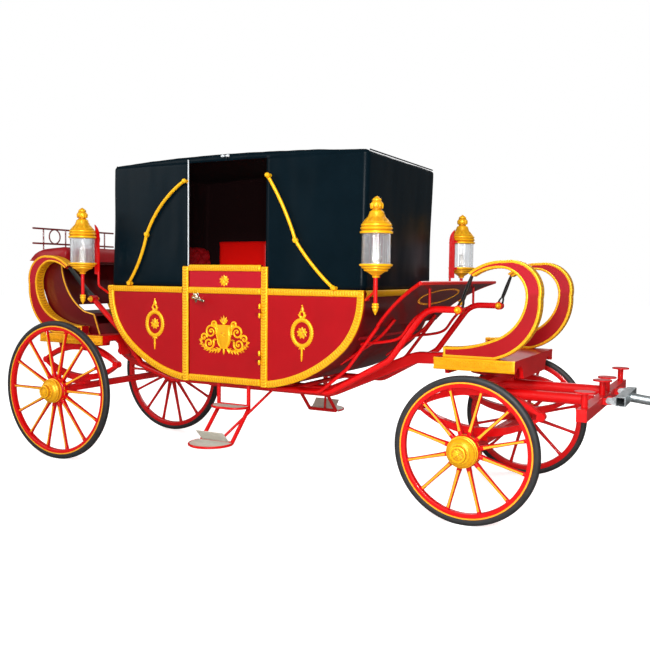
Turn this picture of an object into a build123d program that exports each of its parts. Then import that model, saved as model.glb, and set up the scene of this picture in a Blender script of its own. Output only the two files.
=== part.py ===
from build123d import *
import math
import os

os.makedirs("parts", exist_ok=True)

# A four-wheeled wedding carriage with a landau body, in millimetres, +Z up and +X to the front.
# Lengths along X are measured from mid-wheelbase, and save() moves each finished piece so that
# the origin lies on the ground under the middle of the whole vehicle.

# Body
body_half_length = 1140.0
body_half_width = 635.5
body_bottom_z = 735.0
belt_z = 1454.0
wall = 25.0
flat_share = 0.342
curve_end_below_belt = 54.0
belly_start_deg = 8.0
belly_change_deg = 42.0
moulding_width = 52.0
belt_moulding = 47.0
moulding_proud = 18.0
floor_thickness = 45.0

# Wheels and axles, the front axle ahead of the body and the rear axle behind it
front_axle_ahead = 762.0
rear_axle_behind = 482.0
rear_wheel_r = 575.0
front_wheel_r = 471.0
wheel_y = 745.0
tyre_width = 50.0
tyre_depth = 38.0
tyre_round = 12.0
felloe_depth = 38.0
felloe_width = 44.0
rear_spokes = 14
front_spokes = 12
spoke_hub_size = 40.0
spoke_rim_size = 29.0
spoke_flatness = 0.72
nave_r = 104.0
nave_inner_y = 680.0
nave_outer_y = 786.0
hub_r = 96.0
hub_tip_r = 60.0
hub_boss_r = 47.0
hub_barrel = 34.0
hub_dome = 36.0
hub_boss = 34.0
axle_section = 52.0
axle_arm_r = 28.0
axle_arm_end_y = 840.0
axle_pad_half = 70.0
running_clearance = 0.05
collar_r = 58.0
collar_width = 14.0
moving_gap = 5.0
seat_gap = 0.3

# Doors and door posts
door_ahead = -9.0
door_half_length = 329.0
post_width = 54.0
post_depth = 60.0
post_above_belt = 156.0
door_above_post = 12.0
door_sill_moulding = 55.0
door_swing_gap = 3.0
hinge_knuckle_r = 8.0
hinge_pin_r = 4.0
hinge_knuckle = 30.0
hinge_leaf = 26.0
hinge_arm = 40.0
hinge_rises = (215.0, 555.0)
handle_r = 8.0
handle_reach = 48.0
handle_length = 120.0
handle_rise = 643.0

# Hood
hood_wall = 20.0
hood_edge_above_belt = 947.0
hood_crown = 39.0
hood_rear_foot_in = 15.0
hood_rear_top_in = 39.0
hood_front_foot_in = 4.0
hood_front_top_in = -13.0
hood_round = 40.0
header_depth = 50.0
hood_rear_margin = 9.0
hood_front_margin = 27.0
hood_side_in = 4.0

# Seats
seat_rise = 370.0
cushion_height = 130.0
seat_room = 150.0
back_thickness = 95.0
back_from_end = 75.0
back_half_width = 540.0
back_round = 120.0
rear_back_height = 685.0
front_back_height = 535.0
squab_height = 615.0
squab_thickness = 30.0
squab_length = 530.0

# Springs, braces and irons
suspension_y = 470.0
c_spring_width = 80.0
platform_half_width = 530.0
platform_bottom_z = 945.0
platform_depth = 79.0
platform_wall = 25.0
leaf_half_length = 405.0
leaf_half_height = 160.0
leaf_stack = 54.0
leaf_width = 56.0
leaf_tip = 20.0
spring_eye_r = 27.0
bearer_r = 22.5
brace_eye_r = 30.0
brace_eye_width = 60.0
brace_width = 44.0
brace_half = 7.0
perch_width = 84.0
perch_height = 84.0

# Steering gear and pole
bolster_bottom_z = 840.0
turntable_out_r = 200.0
turntable_in_r = 150.0
turntable_ring = 30.0
kingpin_r = 20.0
bolster_half_length = 500.0
bolster_half_x = 50.0
futchell_y = 250.0
futchell_r = 36.0
futchell_z = 778.0
futchell_behind = 340.0
splinter_ahead = 705.0
splinter_half_length = 800.0
splinter_width = 60.0
splinter_height = 72.0
splinter_top_z = 800.0
trace_post_ys = (94.0, 712.0)
trace_post_r = 20.0
trace_disc_r = 60.0
trace_disc = 10.0
trace_post_height = 96.0
pole_pivot_ahead = 43.0
pole_pivot_z = 785.0
pole_pin_r = 10.0
pole_lug = 12.0
pole_lug_r = 28.0
pole_cheek = 10.0
pole_cheek_gap = 2.0
pole_cross_ahead = 65.0
pole_cross_size = 60.0
pole_cross_wall = 5.0
pole_cross_half = 270.0
pole_r = 30.0
pole_length = 2360.0
pole_slope_deg = 6.5
pole_tip_r = 24.0
pole_tip = 150.0

# Lamps
lamp_y = 845.0
front_lamp_ahead = 180.0
rear_lamp_behind = 81.0
lamp_glass_above_belt = 176.0
lamp_glass_height = 192.0
lamp_glass_r = 93.0
lamp_glass_wall = 5.0
lamp_ring_r = 106.0
lamp_stem_r = 13.0
lamp_stem_length = 165.0
lamp_board = 12.0
lamp_board_from = 22.0
lamp_board_width = 46.0
lamp_arm_r = 9.0

# Places along X that follow from the body and the axles
wheelbase = 2 * body_half_length + front_axle_ahead + rear_axle_behind
front_axle_x = wheelbase / 2
rear_axle_x = -wheelbase / 2
body_front_x = front_axle_x - front_axle_ahead
body_rear_x = rear_axle_x + rear_axle_behind
body_middle_x = (body_front_x + body_rear_x) / 2
door_rear_x = body_middle_x + door_ahead - door_half_length
door_front_x = body_middle_x + door_ahead + door_half_length
splinter_x = front_axle_x + splinter_ahead
pole_pivot_x = splinter_x + splinter_width / 2 + pole_pivot_ahead
pole_cross_x = pole_pivot_x + pole_cross_ahead
rumble_behind = 678.0
rumble_rear_x = rear_axle_x - rumble_behind
pole_end_x = pole_cross_x + (pole_length + pole_tip) * math.cos(math.radians(pole_slope_deg))
to_base_x = -(rumble_rear_x + pole_end_x) / 2
far_x = 3 * body_half_length
far_y = 3 * body_half_width
sky_z = 3 * belt_z


def save(name, *pieces):
    """Writes the solids of one sub-part, moved to the vehicle's base point."""
    solids = []
    for piece in pieces:
        solids.extend(piece.solids())
    export_step(Compound(children=solids).moved(Location((to_base_x, 0, 0))), f"parts/{name}.step")


def side_prism(face, y_from, y_to):
    """A face drawn in X and Z, made solid between two places along Y."""
    return extrude(Plane.XZ.offset(-y_to) * face, y_to - y_from)


def end_prism(face, x_from, x_to):
    """A face drawn in Y and Z, made solid between two places along X."""
    return extrude(Plane.YZ.offset(x_from) * face, x_to - x_from)


def block(x_from, x_to, y_from, y_to, z_from, z_to):
    middle = ((x_from + x_to) / 2, (y_from + y_to) / 2, (z_from + z_to) / 2)
    return Pos(*middle) * Box(x_to - x_from, y_to - y_from, z_to - z_from)


def rectangle_xz(x_from, x_to, z_from, z_to):
    return Pos((x_from + x_to) / 2, (z_from + z_to) / 2) * Rectangle(x_to - x_from, z_to - z_from)


def cross_bar(x, y, z, radius, length):
    """A round bar along Y with its middle at y."""
    return Pos(x, y, z) * Rot(90, 0, 0) * Cylinder(radius, length)


def other_side(piece):
    return mirror(piece, about=Plane.XZ)


def both_sides(piece):
    return [piece, other_side(piece)]


def largest(piece):
    return piece.solids().sort_by(SortBy.VOLUME)[-1]


def rod(points, radius, bends):
    """A round bar along straight runs joined by tangent arcs."""
    path = FilletPolyline(*points, radius=bends) if len(points) > 2 else Line(*points)
    return sweep(Plane(origin=path @ 0, z_dir=path % 0) * Circle(radius), path=path)


def turned(profile, x, z):
    """A profile of (radius, place along Y) turned about the axle line through x and z."""
    face = make_face(Polyline(*profile, close=True))
    return Pos(x, 0, z) * revolve(face, Axis.Y)


def turned_upright(profile, x, y, z):
    """A profile of (radius, height above z) turned about an upright line through x and y."""
    face = Plane.XZ * make_face(Polyline(*profile, close=True))
    return Pos(x, y, z) * revolve(face, Axis.Z)


# Belly curve: two tangent arcs from the flat bottom to the upright end, worked out from
# the run and the rise that they have to cover.
flat_half_length = body_half_length * flat_share
belly_run = body_half_length - flat_half_length
belly_rise = belt_z - curve_end_below_belt - body_bottom_z
sin0, cos0 = math.sin(math.radians(belly_start_deg)), math.cos(math.radians(belly_start_deg))
sin1, cos1 = math.sin(math.radians(belly_change_deg)), math.cos(math.radians(belly_change_deg))
determinant = (sin1 - sin0) * cos1 - (1 - sin1) * (cos0 - cos1)
belly_r1 = (belly_run * cos1 - (1 - sin1) * belly_rise) / determinant
belly_r2 = ((sin1 - sin0) * belly_rise - (cos0 - cos1) * belly_run) / determinant
centre1 = (flat_half_length - belly_r1 * sin0, body_bottom_z + belly_r1 * cos0)
centre2 = (centre1[0] + (belly_r1 - belly_r2) * sin1, centre1[1] - (belly_r1 - belly_r2) * cos1)


def belly_point(centre, radius, angle_deg, side):
    angle = math.radians(angle_deg)
    x = centre[0] + radius * math.sin(angle)
    return (body_middle_x + side * x, centre[1] - radius * math.cos(angle))


def body_outline(inset, top_z):
    """The canoe-shaped side outline of the body, shrunk inwards by inset."""
    edges = []
    ends = {}
    mid1 = (belly_start_deg + belly_change_deg) / 2
    mid2 = (belly_change_deg + 90.0) / 2
    for side in (-1, 1):
        r1, r2 = belly_r1 - inset, belly_r2 - inset
        start = belly_point(centre1, r1, belly_start_deg, side)
        change = belly_point(centre1, r1, belly_change_deg, side)
        end = belly_point(centre2, r2, 90.0, side)
        edges.append(ThreePointArc(start, belly_point(centre1, r1, mid1, side), change))
        edges.append(ThreePointArc(change, belly_point(centre2, r2, mid2, side), end))
        edges.append(Line(end, (end[0], top_z)))
        ends[side] = (start, (end[0], top_z))
    edges.append(Line(ends[-1][0], ends[1][0]))
    edges.append(Line(ends[-1][1], ends[1][1]))
    return make_face(edges)


panel_in_y = body_half_width - wall
outer_face = body_outline(0.0, belt_z)

# Body tub: the curved ends and bottom, one bent skin with the floor boards on it
floor_z = body_bottom_z + floor_thickness
tub = side_prism(outer_face - body_outline(wall, belt_z + 1.0), -panel_in_y, panel_in_y)
floor_face = body_outline(wall, belt_z) & rectangle_xz(-far_x, far_x, body_bottom_z, floor_z)
tub += side_prism(floor_face, -panel_in_y, panel_in_y)
save("body_tub", tub)

# Quarter panels: one in front of and one behind each door
rear_post_x = door_rear_x - post_width
front_post_x = door_front_x + post_width
quarters = [
    outer_face & rectangle_xz(-far_x, rear_post_x, 0, belt_z),
    outer_face & rectangle_xz(front_post_x, far_x, 0, belt_z),
]
panels = []
for quarter in quarters:
    panels.extend(both_sides(side_prism(quarter, -body_half_width, -panel_in_y)))
save("quarter_panels", *panels)

# Door posts, with the fixed halves of the door hinges on the front ones
post_top_z = belt_z + post_above_belt
door_top_z = post_top_z + door_above_post
hinge_y = body_half_width + moulding_proud + hinge_knuckle_r + seat_gap
posts = []
for x_from in (rear_post_x, door_front_x):
    post = block(x_from, x_from + post_width, -body_half_width, post_depth - body_half_width,
                 body_bottom_z, post_top_z)
    posts.extend(both_sides(post - tub))
save("door_posts", *posts)

# Gilt mouldings: the rim of each quarter, the belt round the ends and the faces of the posts
window = body_outline(moulding_width, belt_z) & rectangle_xz(-far_x, far_x, 0, belt_z - belt_moulding)
mouldings = []
for x_from, x_to, post_x in (
    (-far_x, door_rear_x, rear_post_x),
    (door_front_x, far_x, door_front_x),
):
    face = outer_face & rectangle_xz(x_from, x_to, 0, belt_z)
    open_part = window - rectangle_xz(rear_post_x, front_post_x, 0, belt_z)
    face = face - open_part
    face = face + rectangle_xz(post_x, post_x + post_width, belt_z - belt_moulding, post_top_z)
    mouldings.extend(both_sides(side_prism(face, -body_half_width - moulding_proud, -body_half_width)))
for x_from in (body_rear_x - moulding_proud, body_front_x):
    mouldings.append(block(x_from, x_from + moulding_proud, -body_half_width, body_half_width,
                           belt_z - belt_moulding, belt_z))

# Door hinges: the fixed halves with their pins are part of the front post's moulding
hinge_fixed = []
hinge_moving = []
leaf_half = hinge_knuckle_r / 2
for rise in hinge_rises:
    z = body_bottom_z + rise
    stack = 3 * hinge_knuckle
    pin = Pos(door_front_x, -hinge_y, z) * Cylinder(hinge_pin_r, stack)
    fixed = Pos(door_front_x, -hinge_y, z) * Cylinder(hinge_knuckle_r, stack)
    fixed += block(door_front_x, door_front_x + hinge_leaf, -hinge_y - hinge_knuckle_r + 1.0,
                   -body_half_width - moulding_proud, z - stack / 2, z + stack / 2)
    fixed -= block(door_front_x - hinge_leaf, door_front_x + hinge_leaf + 1.0, -hinge_y - hinge_knuckle_r,
                   -hinge_y + hinge_knuckle_r, z - hinge_knuckle / 2, z + hinge_knuckle / 2)
    hinge_fixed.extend(both_sides(fixed + pin))
    height = hinge_knuckle - 2 * seat_gap
    leaf = Pos(door_front_x, -hinge_y, z) * Cylinder(hinge_knuckle_r, height)
    leaf += block(door_front_x - hinge_arm, door_front_x, -hinge_y - leaf_half, -hinge_y + leaf_half,
                  z - height / 2, z + height / 2)
    leaf += block(door_front_x - hinge_arm, door_front_x - moving_gap - 2 * leaf_half, -hinge_y - leaf_half,
                  -body_half_width, z - height / 2, z + height / 2)
    leaf -= Pos(door_front_x, -hinge_y, z) * Cylinder(hinge_pin_r + running_clearance, stack)
    hinge_moving.append(leaf)
save("body_mouldings", *[piece + [half for half in hinge_fixed if half.distance_to(piece) < 0.01]
                         for piece in mouldings])

# Doors: one panel each, hung on its front edge, with three gilt rails and a handle
door_x = (door_rear_x + moving_gap + door_swing_gap, door_front_x - moving_gap)
door_low_z = body_bottom_z + moving_gap
door_leaf = block(*door_x, -body_half_width, -panel_in_y - seat_gap, door_low_z, door_top_z)
for leaf in hinge_moving:
    door_leaf += leaf
rails = []
for z_from, z_to in (
    (door_low_z, body_bottom_z + door_sill_moulding),
    (belt_z - belt_moulding, belt_z),
    (door_top_z - belt_moulding, door_top_z),
):
    rails.append(block(*door_x, -body_half_width - moulding_proud, -body_half_width, z_from, z_to))
handle_x = door_x[0] + handle_length / 2
handle_z = body_bottom_z + handle_rise
handle_y = body_half_width + handle_reach
handle_drop = handle_length / 4
handle = rod([(handle_x, -body_half_width, handle_z), (handle_x, -handle_y, handle_z),
              (handle_x + handle_length, -handle_y, handle_z - handle_drop)], handle_r, 1.5 * handle_r)
handle += cross_bar(handle_x, -body_half_width - 3.0, handle_z, 3 * handle_r, 6.0)
for side_name, turn in (("right", lambda piece: piece), ("left", other_side)):
    save(f"door_{side_name}", turn(door_leaf))
    save(f"door_{side_name}_rails", *[turn(rail) for rail in rails])
    save(f"door_{side_name}_handle", turn(handle))

# Hood: two black halves that meet over the doors, each a hollow shell open below
hood_half_width = body_half_width - hood_side_in
hood_edge_z = belt_z + hood_edge_above_belt
hood_middle_z = hood_edge_z + hood_crown
hood_table = {
    # side: foot x, top x, edge beside the door
    -1: (body_rear_x + hood_rear_foot_in, body_rear_x + hood_rear_top_in, door_rear_x - hood_rear_margin),
    1: (body_front_x - hood_front_foot_in, body_front_x - hood_front_top_in, door_front_x + hood_front_margin),
}


def hood_face(side, inset):
    foot_x, top_x, door_side_x = hood_table[side]
    low_z = belt_z - (1.0 if inset else 0.0)
    foot = (foot_x - side * inset, low_z)
    top = (top_x - side * inset, hood_edge_z - inset)
    middle = (body_middle_x + side * (seat_gap if not inset else -1.0), hood_middle_z - inset)
    quarter_z = hood_middle_z - hood_crown / 4 - inset
    between = ((top[0] + middle[0]) / 2, quarter_z)
    under = (middle[0], hood_middle_z - header_depth) if not inset else (middle[0], low_z)
    edges = [Line(foot, top), ThreePointArc(top, between, middle), Line(middle, under)]
    if inset:
        edges.append(Line(under, foot))
    else:
        corner = (door_side_x, hood_middle_z - header_depth)
        edges += [Line(under, corner), Line(corner, (door_side_x, low_z)), Line((door_side_x, low_z), foot)]
    return make_face(edges)


for name, side in (("hood_rear", -1), ("hood_front", 1)):
    shell = side_prism(hood_face(side, 0.0), -hood_half_width, hood_half_width)
    end_x = (hood_table[side][0] + hood_table[side][1]) / 2
    upright = shell.edges().filter_by(
        lambda edge: abs(edge.center().X - end_x) < 2 * wall
        and abs(abs(edge.center().Y) - hood_half_width) < 1 and edge.length > hood_edge_above_belt / 2
    )
    shell = fillet(upright, hood_round)
    hollow_half = hood_half_width - hood_wall
    shell -= side_prism(hood_face(side, hood_wall), -hollow_half, hollow_half)
    for post in posts:
        shell -= post
    save(name, shell)

# Landau irons: on each side of each half of the hood, two curved bars with a joint between,
# and a ball at each end
iron_r = 12.0
iron_ball_r = 19.0
iron_joint_r = 17.0
iron_y = hood_half_width + seat_gap + iron_r + 3.0
iron_top_z, iron_low_z = hood_edge_z - 149.0, belt_z + 20.0
iron_rise = iron_top_z - iron_low_z
iron_table = (
    # upper end x, lower end x, then share of the way and bow of: upper bend, joint, lower bend
    (door_rear_x - 35.0, body_rear_x + 216.0, 0.20, -38.0, 0.51, -92.0, 0.76, -56.0),
    (door_front_x + 48.0, body_front_x - 234.0, 0.26, -18.0, 0.585, -80.0, 0.78, -74.0),
)
irons = []
for x_up, x_low, share1, bow1, share2, bow2, share3, bow3 in iron_table:
    def iron_point(share, bow):
        return (x_up + (x_low - x_up) * share + bow, iron_top_z - iron_rise * share)
    upper = ThreePointArc((x_up, iron_top_z), iron_point(share1, bow1), iron_point(share2, bow2))
    lower = ThreePointArc(iron_point(share2, bow2), iron_point(share3, bow3), (x_low, iron_low_z))
    joint_x, joint_z = iron_point(share2, bow2)
    iron = cross_bar(joint_x, -iron_y, joint_z, iron_joint_r, 2 * iron_r)
    for arc in (upper, lower):
        path = Plane.XZ.offset(iron_y) * arc
        iron += sweep(Plane(origin=path @ 0, z_dir=path % 0) * Circle(iron_r), path=path)
    for x, z in ((x_up, iron_top_z), (x_low, iron_low_z)):
        iron += Pos(x, -iron_y, z) * Sphere(iron_ball_r)
    keep = block(-far_x, far_x, -far_y, -hood_half_width - seat_gap, 0, sky_z)
    irons.extend(both_sides(largest(iron & keep)))
save("landau_irons", *irons)

# Seats inside: boxes, cushions, tufted backs and the upright side squabs
cavity = side_prism(body_outline(wall + seat_gap, sky_z), -panel_in_y, panel_in_y)
seat_z = body_bottom_z + seat_rise
seat_half_width = panel_in_y - 2.0
seat_boxes = []
cushions = []
backs = []
for side, back_height, post_x, end_x in (
    (-1, rear_back_height, rear_post_x, body_rear_x),
    (1, front_back_height, front_post_x, body_front_x),
):
    back_rear = end_x - side * back_from_end
    back_front = back_rear - side * back_thickness
    seat_front = post_x + side * seat_room / 2
    low, high = sorted((seat_front, end_x - side * wall))
    seat_box = block(low, high, -seat_half_width, seat_half_width, floor_z, seat_z)
    seat_boxes.append(seat_box & cavity)
    low, high = sorted((seat_front - side * wall, back_front))
    cushion = block(low, high, -seat_half_width + 10, seat_half_width - 10, seat_z, seat_z + cushion_height)
    cushions.append(fillet(cushion.edges().filter_by(Axis.Z), 40.0))
    low, high = sorted((back_front, back_rear))
    back = block(low, high, -back_half_width, back_half_width, seat_z, seat_z + back_height)
    backs.append(fillet(back.edges().filter_by(Axis.X).group_by(Axis.Z)[-1], back_round) & cavity)
save("seat_boxes", *seat_boxes)
save("seat_cushions", *cushions)
save("seat_backs", *backs)
squab_y = min(panel_in_y, hood_half_width - hood_wall) - seat_gap
squab_front_x = rear_post_x - hinge_arm / 2
squab_z = seat_z + cushion_height
side_squab = block(squab_front_x - squab_length, squab_front_x, -squab_y, -squab_y + squab_thickness,
                   squab_z, squab_z + squab_height)
save("side_squabs", *both_sides(side_squab))

# Body bearers: the long tubes under the belly that curve up to the brace eyes, tied across
bearer_z = body_bottom_z - bearer_r - seat_gap
rear_eye = (body_rear_x - 336.0, belt_z - 124.0)
front_eye = (body_front_x + 612.0, belt_z - 118.0)
bearer_points = [
    rear_eye,
    (body_rear_x - 40.0, body_bottom_z + 345.0),
    (body_rear_x + 200.0, body_bottom_z + 65.0),
    (body_middle_x - 0.55 * body_half_length, bearer_z),
    (body_front_x - 345.0, bearer_z),
    (body_front_x + 120.0, body_bottom_z + 235.0),
    (body_front_x + 385.0, body_bottom_z + 600.0),
    front_eye,
]
bearer = rod([(x, -suspension_y, z) for x, z in bearer_points], bearer_r, 150.0)
for x, z in (rear_eye, front_eye):
    bearer += cross_bar(x, -suspension_y, z, brace_eye_r, brace_eye_width)
bearers = bearer + other_side(bearer)
tie_r = 0.8 * bearer_r
for x in (body_middle_x - 0.4 * body_half_length, body_middle_x + 0.4 * body_half_length):
    bearers += cross_bar(x, 0, bearer_z, tie_r, 2 * suspension_y)
save("body_bearers", bearers)

# C springs: crescents that taper to the tip, one over each corner of the undercarriage
platform_top_z = platform_bottom_z + platform_depth
c_half = c_spring_width / 2
c_reach = 645.0
c_height = 638.0


def c_spring_point(foot_x, side, reach, height, run, rise):
    return (foot_x + side * run * reach / c_reach, platform_top_z + rise * height / c_height)


def c_spring(foot_x, side, reach, height):
    """foot_x is the foot's end, and side is +1 where the C stands in front of it."""
    def at(run, rise):
        return c_spring_point(foot_x, side, reach, height, run, rise)
    edges = [
        Line(at(0, 0), at(340, 0)),
        ThreePointArc(at(340, 0), at(573, 168), at(628, 395)),
        ThreePointArc(at(628, 395), at(560, 590), at(395, 636)),
        ThreePointArc(at(395, 636), at(272, 618), at(160, 556)),
        Line(at(160, 556), at(192, 532)),
        ThreePointArc(at(192, 532), at(288, 578), at(392, 586)),
        ThreePointArc(at(392, 586), at(490, 528), at(533, 385)),
        ThreePointArc(at(533, 385), at(470, 228), at(330, 128)),
        ThreePointArc(at(330, 128), at(190, 84), at(0, 68)),
        Line(at(0, 68), at(0, 0)),
    ]
    return make_face(edges)


c_inner_y = suspension_y - c_half
c_outer_y = suspension_y + c_half
front_foot_x = front_axle_x - 240.0
rear_foot_x = rear_axle_x + 50.0
c_spring_table = (
    # foot x, side, reach, height, brace eye
    (front_foot_x, 1, c_reach, c_height, front_eye),
    (rear_foot_x, -1, c_reach + 7.0, c_height + 34.0, rear_eye),
)
c_springs = []
for foot_x, side, reach, height, eye in c_spring_table:
    face = c_spring(foot_x, side, reach, height)
    c_springs.extend(both_sides(side_prism(face, -c_outer_y, -c_inner_y)))
save("c_springs", *c_springs)

# Leather braces from the tips of the C springs down to the brace eyes
braces = []
for foot_x, side, reach, height, eye in c_spring_table:
    tip = c_spring_point(foot_x, side, reach, height, 176.0, 544.0)
    length = math.hypot(tip[0] - eye[0], tip[1] - eye[1]) - brace_eye_r - seat_gap + 2 * tie_r
    lean = math.degrees(math.atan2(tip[0] - eye[0], tip[1] - eye[1]))
    strap = Pos(0, 0, brace_eye_r + seat_gap + length / 2) * Box(2 * brace_half, brace_width, length)
    strap = Pos(eye[0], -suspension_y, eye[1]) * Rot(0, lean, 0) * strap
    strap -= side_prism(c_spring(foot_x, side, reach, height), -c_outer_y, -c_inner_y)
    braces.extend(both_sides(largest(strap)))
save("braces", *braces)

# Platforms that carry the C springs: a top board with two side boards, end boards scalloped
# under each spring, and a cross bolster
front_platform_x = (front_axle_x - 297.0, front_axle_x + 243.0)
rear_platform_x = (rear_axle_x - 428.0, rear_axle_x + 302.0)
platform_bolster_half = 60.0
arch_rise = 38.0
middle_half = 300.0
front_skirt = 53.0
rear_skirt = 95.0


def end_board(x_from, skirt):
    """An end board with its middle part let down by skirt, and an arch over each spring."""
    low_z = platform_bottom_z
    edges = [
        Line((-platform_half_width, platform_top_z), (platform_half_width, platform_top_z)),
        Line((platform_half_width, platform_top_z), (platform_half_width, low_z)),
        Line((-platform_half_width, platform_top_z), (-platform_half_width, low_z)),
        Line((-middle_half, low_z - skirt), (middle_half, low_z - skirt)),
    ]
    for side in (-1, 1):
        outer = side * (suspension_y + platform_half_width) / 2
        edges.append(Line((side * platform_half_width, low_z), (outer, low_z)))
        inner = side * (middle_half + 20.0)
        edges.append(ThreePointArc((outer, low_z), ((outer + inner) / 2, low_z + arch_rise), (inner, low_z)))
        edges.append(Line((inner, low_z), (side * middle_half, low_z - skirt)))
    return end_prism(make_face(edges), x_from, x_from + platform_wall)


def platform(x_from, x_to, bolster_x, skirt):
    inside = platform_half_width - platform_wall
    shape = block(x_from, x_to, -platform_half_width, platform_half_width, platform_bottom_z, platform_top_z)
    shape -= block(x_from - 1.0, x_to + 1.0, -inside, inside, platform_bottom_z, platform_top_z - platform_wall)
    shape += end_board(x_from, skirt) + end_board(x_to - platform_wall, skirt)
    shape -= block(x_from - 1.0, x_to + 1.0, inside + 1.0, platform_half_width, 0, platform_bottom_z)
    shape += block(bolster_x - platform_bolster_half, bolster_x + platform_bolster_half, -inside, inside,
                   platform_bottom_z, platform_top_z - platform_wall)
    return shape


front_platform = platform(*front_platform_x, front_axle_x, front_skirt)
rear_platform = platform(*rear_platform_x, rear_axle_x, rear_skirt)

# Perch: the swan-necked beam that joins the two platforms under the body
perch_low_z = body_bottom_z - 88.0
perch_end_z = platform_bottom_z + 20.0
perch_line = [
    (rear_platform_x[1], perch_end_z),
    (rear_platform_x[1] + 90.0, perch_end_z - 5.0),
    (body_middle_x - 0.51 * body_half_length, perch_low_z),
    (body_middle_x + 0.50 * body_half_length, perch_low_z),
    (front_platform_x[0] - 330.0, perch_end_z - 10.0),
    (front_platform_x[0], perch_end_z),
]
perch_path = FilletPolyline(*[(x, 0, z) for x, z in perch_line], radius=150.0)
perch_section = Plane(origin=perch_path @ 0, z_dir=perch_path % 0, x_dir=(0, 1, 0))
perch = sweep(perch_section * RectangleRounded(perch_width, perch_height, 14.0), path=perch_path)
perch &= block(rear_platform_x[1], front_platform_x[0], -far_y, far_y, 0, sky_z)
save("platforms", front_platform, rear_platform)
save("perch", perch)


# Elliptic springs: an upper and a lower leaf stack joined at the eyes
def elliptic_spring(x, eye_z):
    def at(run, rise):
        return (x + run, eye_z + rise)
    face = Pos(*at(-leaf_half_length, 0)) * Circle(spring_eye_r)
    face += Pos(*at(leaf_half_length, 0)) * Circle(spring_eye_r)
    for up in (1, -1):
        outside = ThreePointArc(at(-leaf_half_length, up * leaf_tip), at(0, up * leaf_half_height),
                                at(leaf_half_length, up * leaf_tip))
        inside = ThreePointArc(at(-leaf_half_length, -up * 1.0), at(0, up * (leaf_half_height - leaf_stack)),
                               at(leaf_half_length, -up * 1.0))
        ends = [Line(outside @ 0, inside @ 0), Line(outside @ 1, inside @ 1)]
        face += make_face([outside, inside] + ends)
    return side_prism(face, -suspension_y - leaf_width / 2, -suspension_y + leaf_width / 2)


rear_eye_z = platform_bottom_z - leaf_half_height
front_eye_z = bolster_bottom_z - leaf_half_height
save("springs_rear", *both_sides(elliptic_spring(rear_axle_x, rear_eye_z)))
save("springs_front", *both_sides(elliptic_spring(front_axle_x, front_eye_z)))

# Axles: square beams with round arms, a collar behind each wheel and a pad under each spring
for name, x, z, eye_z in (
    ("axle_rear", rear_axle_x, rear_wheel_r, rear_eye_z),
    ("axle_front", front_axle_x, front_wheel_r, front_eye_z),
):
    half = axle_section / 2
    collar_out = nave_inner_y - moving_gap
    beam_end = collar_out - collar_width
    axle = block(x - half, x + half, -beam_end, beam_end, z - half, z + half)
    axle += cross_bar(x, 0, z, axle_arm_r - running_clearance, 2 * axle_arm_end_y)
    for side in (-1, 1):
        axle += cross_bar(x, side * (collar_out - collar_width / 2), z, collar_r, collar_width)
        pad_y = side * suspension_y
        axle += block(x - axle_pad_half, x + axle_pad_half, pad_y - leaf_width / 2 - 8, pad_y + leaf_width / 2 + 8,
                      z + half - 1.0, eye_z - leaf_half_height + 1.5)
    for spring in both_sides(elliptic_spring(x, eye_z)):
        axle -= spring
    save(name, axle)


# Wheels: a rubber tyre, a wooden wheel with tapered oval spokes, and a gilt hub
def wheel_pieces(x, z, wheel_r, spokes):
    """The near-side wheel at y = -wheel_y."""
    half = tyre_width / 2
    rim_r = wheel_r - tyre_depth
    inner_r = rim_r - felloe_depth
    tyre = turned([(rim_r, -wheel_y - half), (wheel_r - tyre_round, -wheel_y - half),
                   (wheel_r, -wheel_y - half + tyre_round), (wheel_r, -wheel_y + half - tyre_round),
                   (wheel_r - tyre_round, -wheel_y + half), (rim_r, -wheel_y + half)], x, z)
    rim_half = felloe_width / 2
    wood = turned([(rim_r, -wheel_y - rim_half), (rim_r, -wheel_y + rim_half),
                   (inner_r + 6.0, -wheel_y + rim_half), (inner_r, -wheel_y + rim_half - 8.0),
                   (inner_r, -wheel_y - rim_half + 8.0), (inner_r + 6.0, -wheel_y - rim_half)], x, z)
    bore_r = axle_arm_r
    wood += turned([(bore_r, -nave_outer_y), (nave_r, -nave_outer_y), (nave_r, -nave_inner_y - 30.0),
                    (nave_r - 26.0, -nave_inner_y), (bore_r, -nave_inner_y)], x, z)
    big = Plane.XY.offset(nave_r - 8.0) * SlotOverall(spoke_hub_size, spoke_hub_size * spoke_flatness)
    small = Plane.XY.offset(inner_r + 4.0) * SlotOverall(spoke_rim_size, spoke_rim_size * spoke_flatness)
    spoke = loft([Rot(0, 0, 90) * big, Rot(0, 0, 90) * small])
    for number in range(spokes):
        angle = 360.0 * (number + 0.5) / spokes
        wood += Pos(x, -wheel_y, z) * Rot(0, angle, 0) * spoke
    y = -nave_outer_y
    hub = turned([(bore_r, y), (hub_r, y), (hub_r - 2.0, y - hub_barrel), (hub_tip_r, y - hub_barrel - hub_dome),
                  (hub_boss_r, y - hub_barrel - hub_dome), (hub_boss_r - 3.0, y - hub_barrel - hub_dome - hub_boss),
                  (0, y - hub_barrel - hub_dome - hub_boss), (0, -axle_arm_end_y - moving_gap),
                  (bore_r, -axle_arm_end_y - moving_gap)], x, z)
    return tyre, wood, hub


wheel_table = (
    # end of the vehicle, x, wheel radius, spokes
    ("rear", rear_axle_x, rear_wheel_r, rear_spokes),
    ("front", front_axle_x, front_wheel_r, front_spokes),
)
for end_name, x, wheel_r, spokes in wheel_table:
    tyre, wood, hub = wheel_pieces(x, wheel_r, wheel_r, spokes)
    for side_name, turn in (("right", lambda piece: piece), ("left", other_side)):
        save(f"tyre_{end_name}_{side_name}", turn(tyre))
        save(f"wheel_{end_name}_{side_name}", turn(wood))
        save(f"hub_{end_name}_{side_name}", turn(hub))

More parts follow.
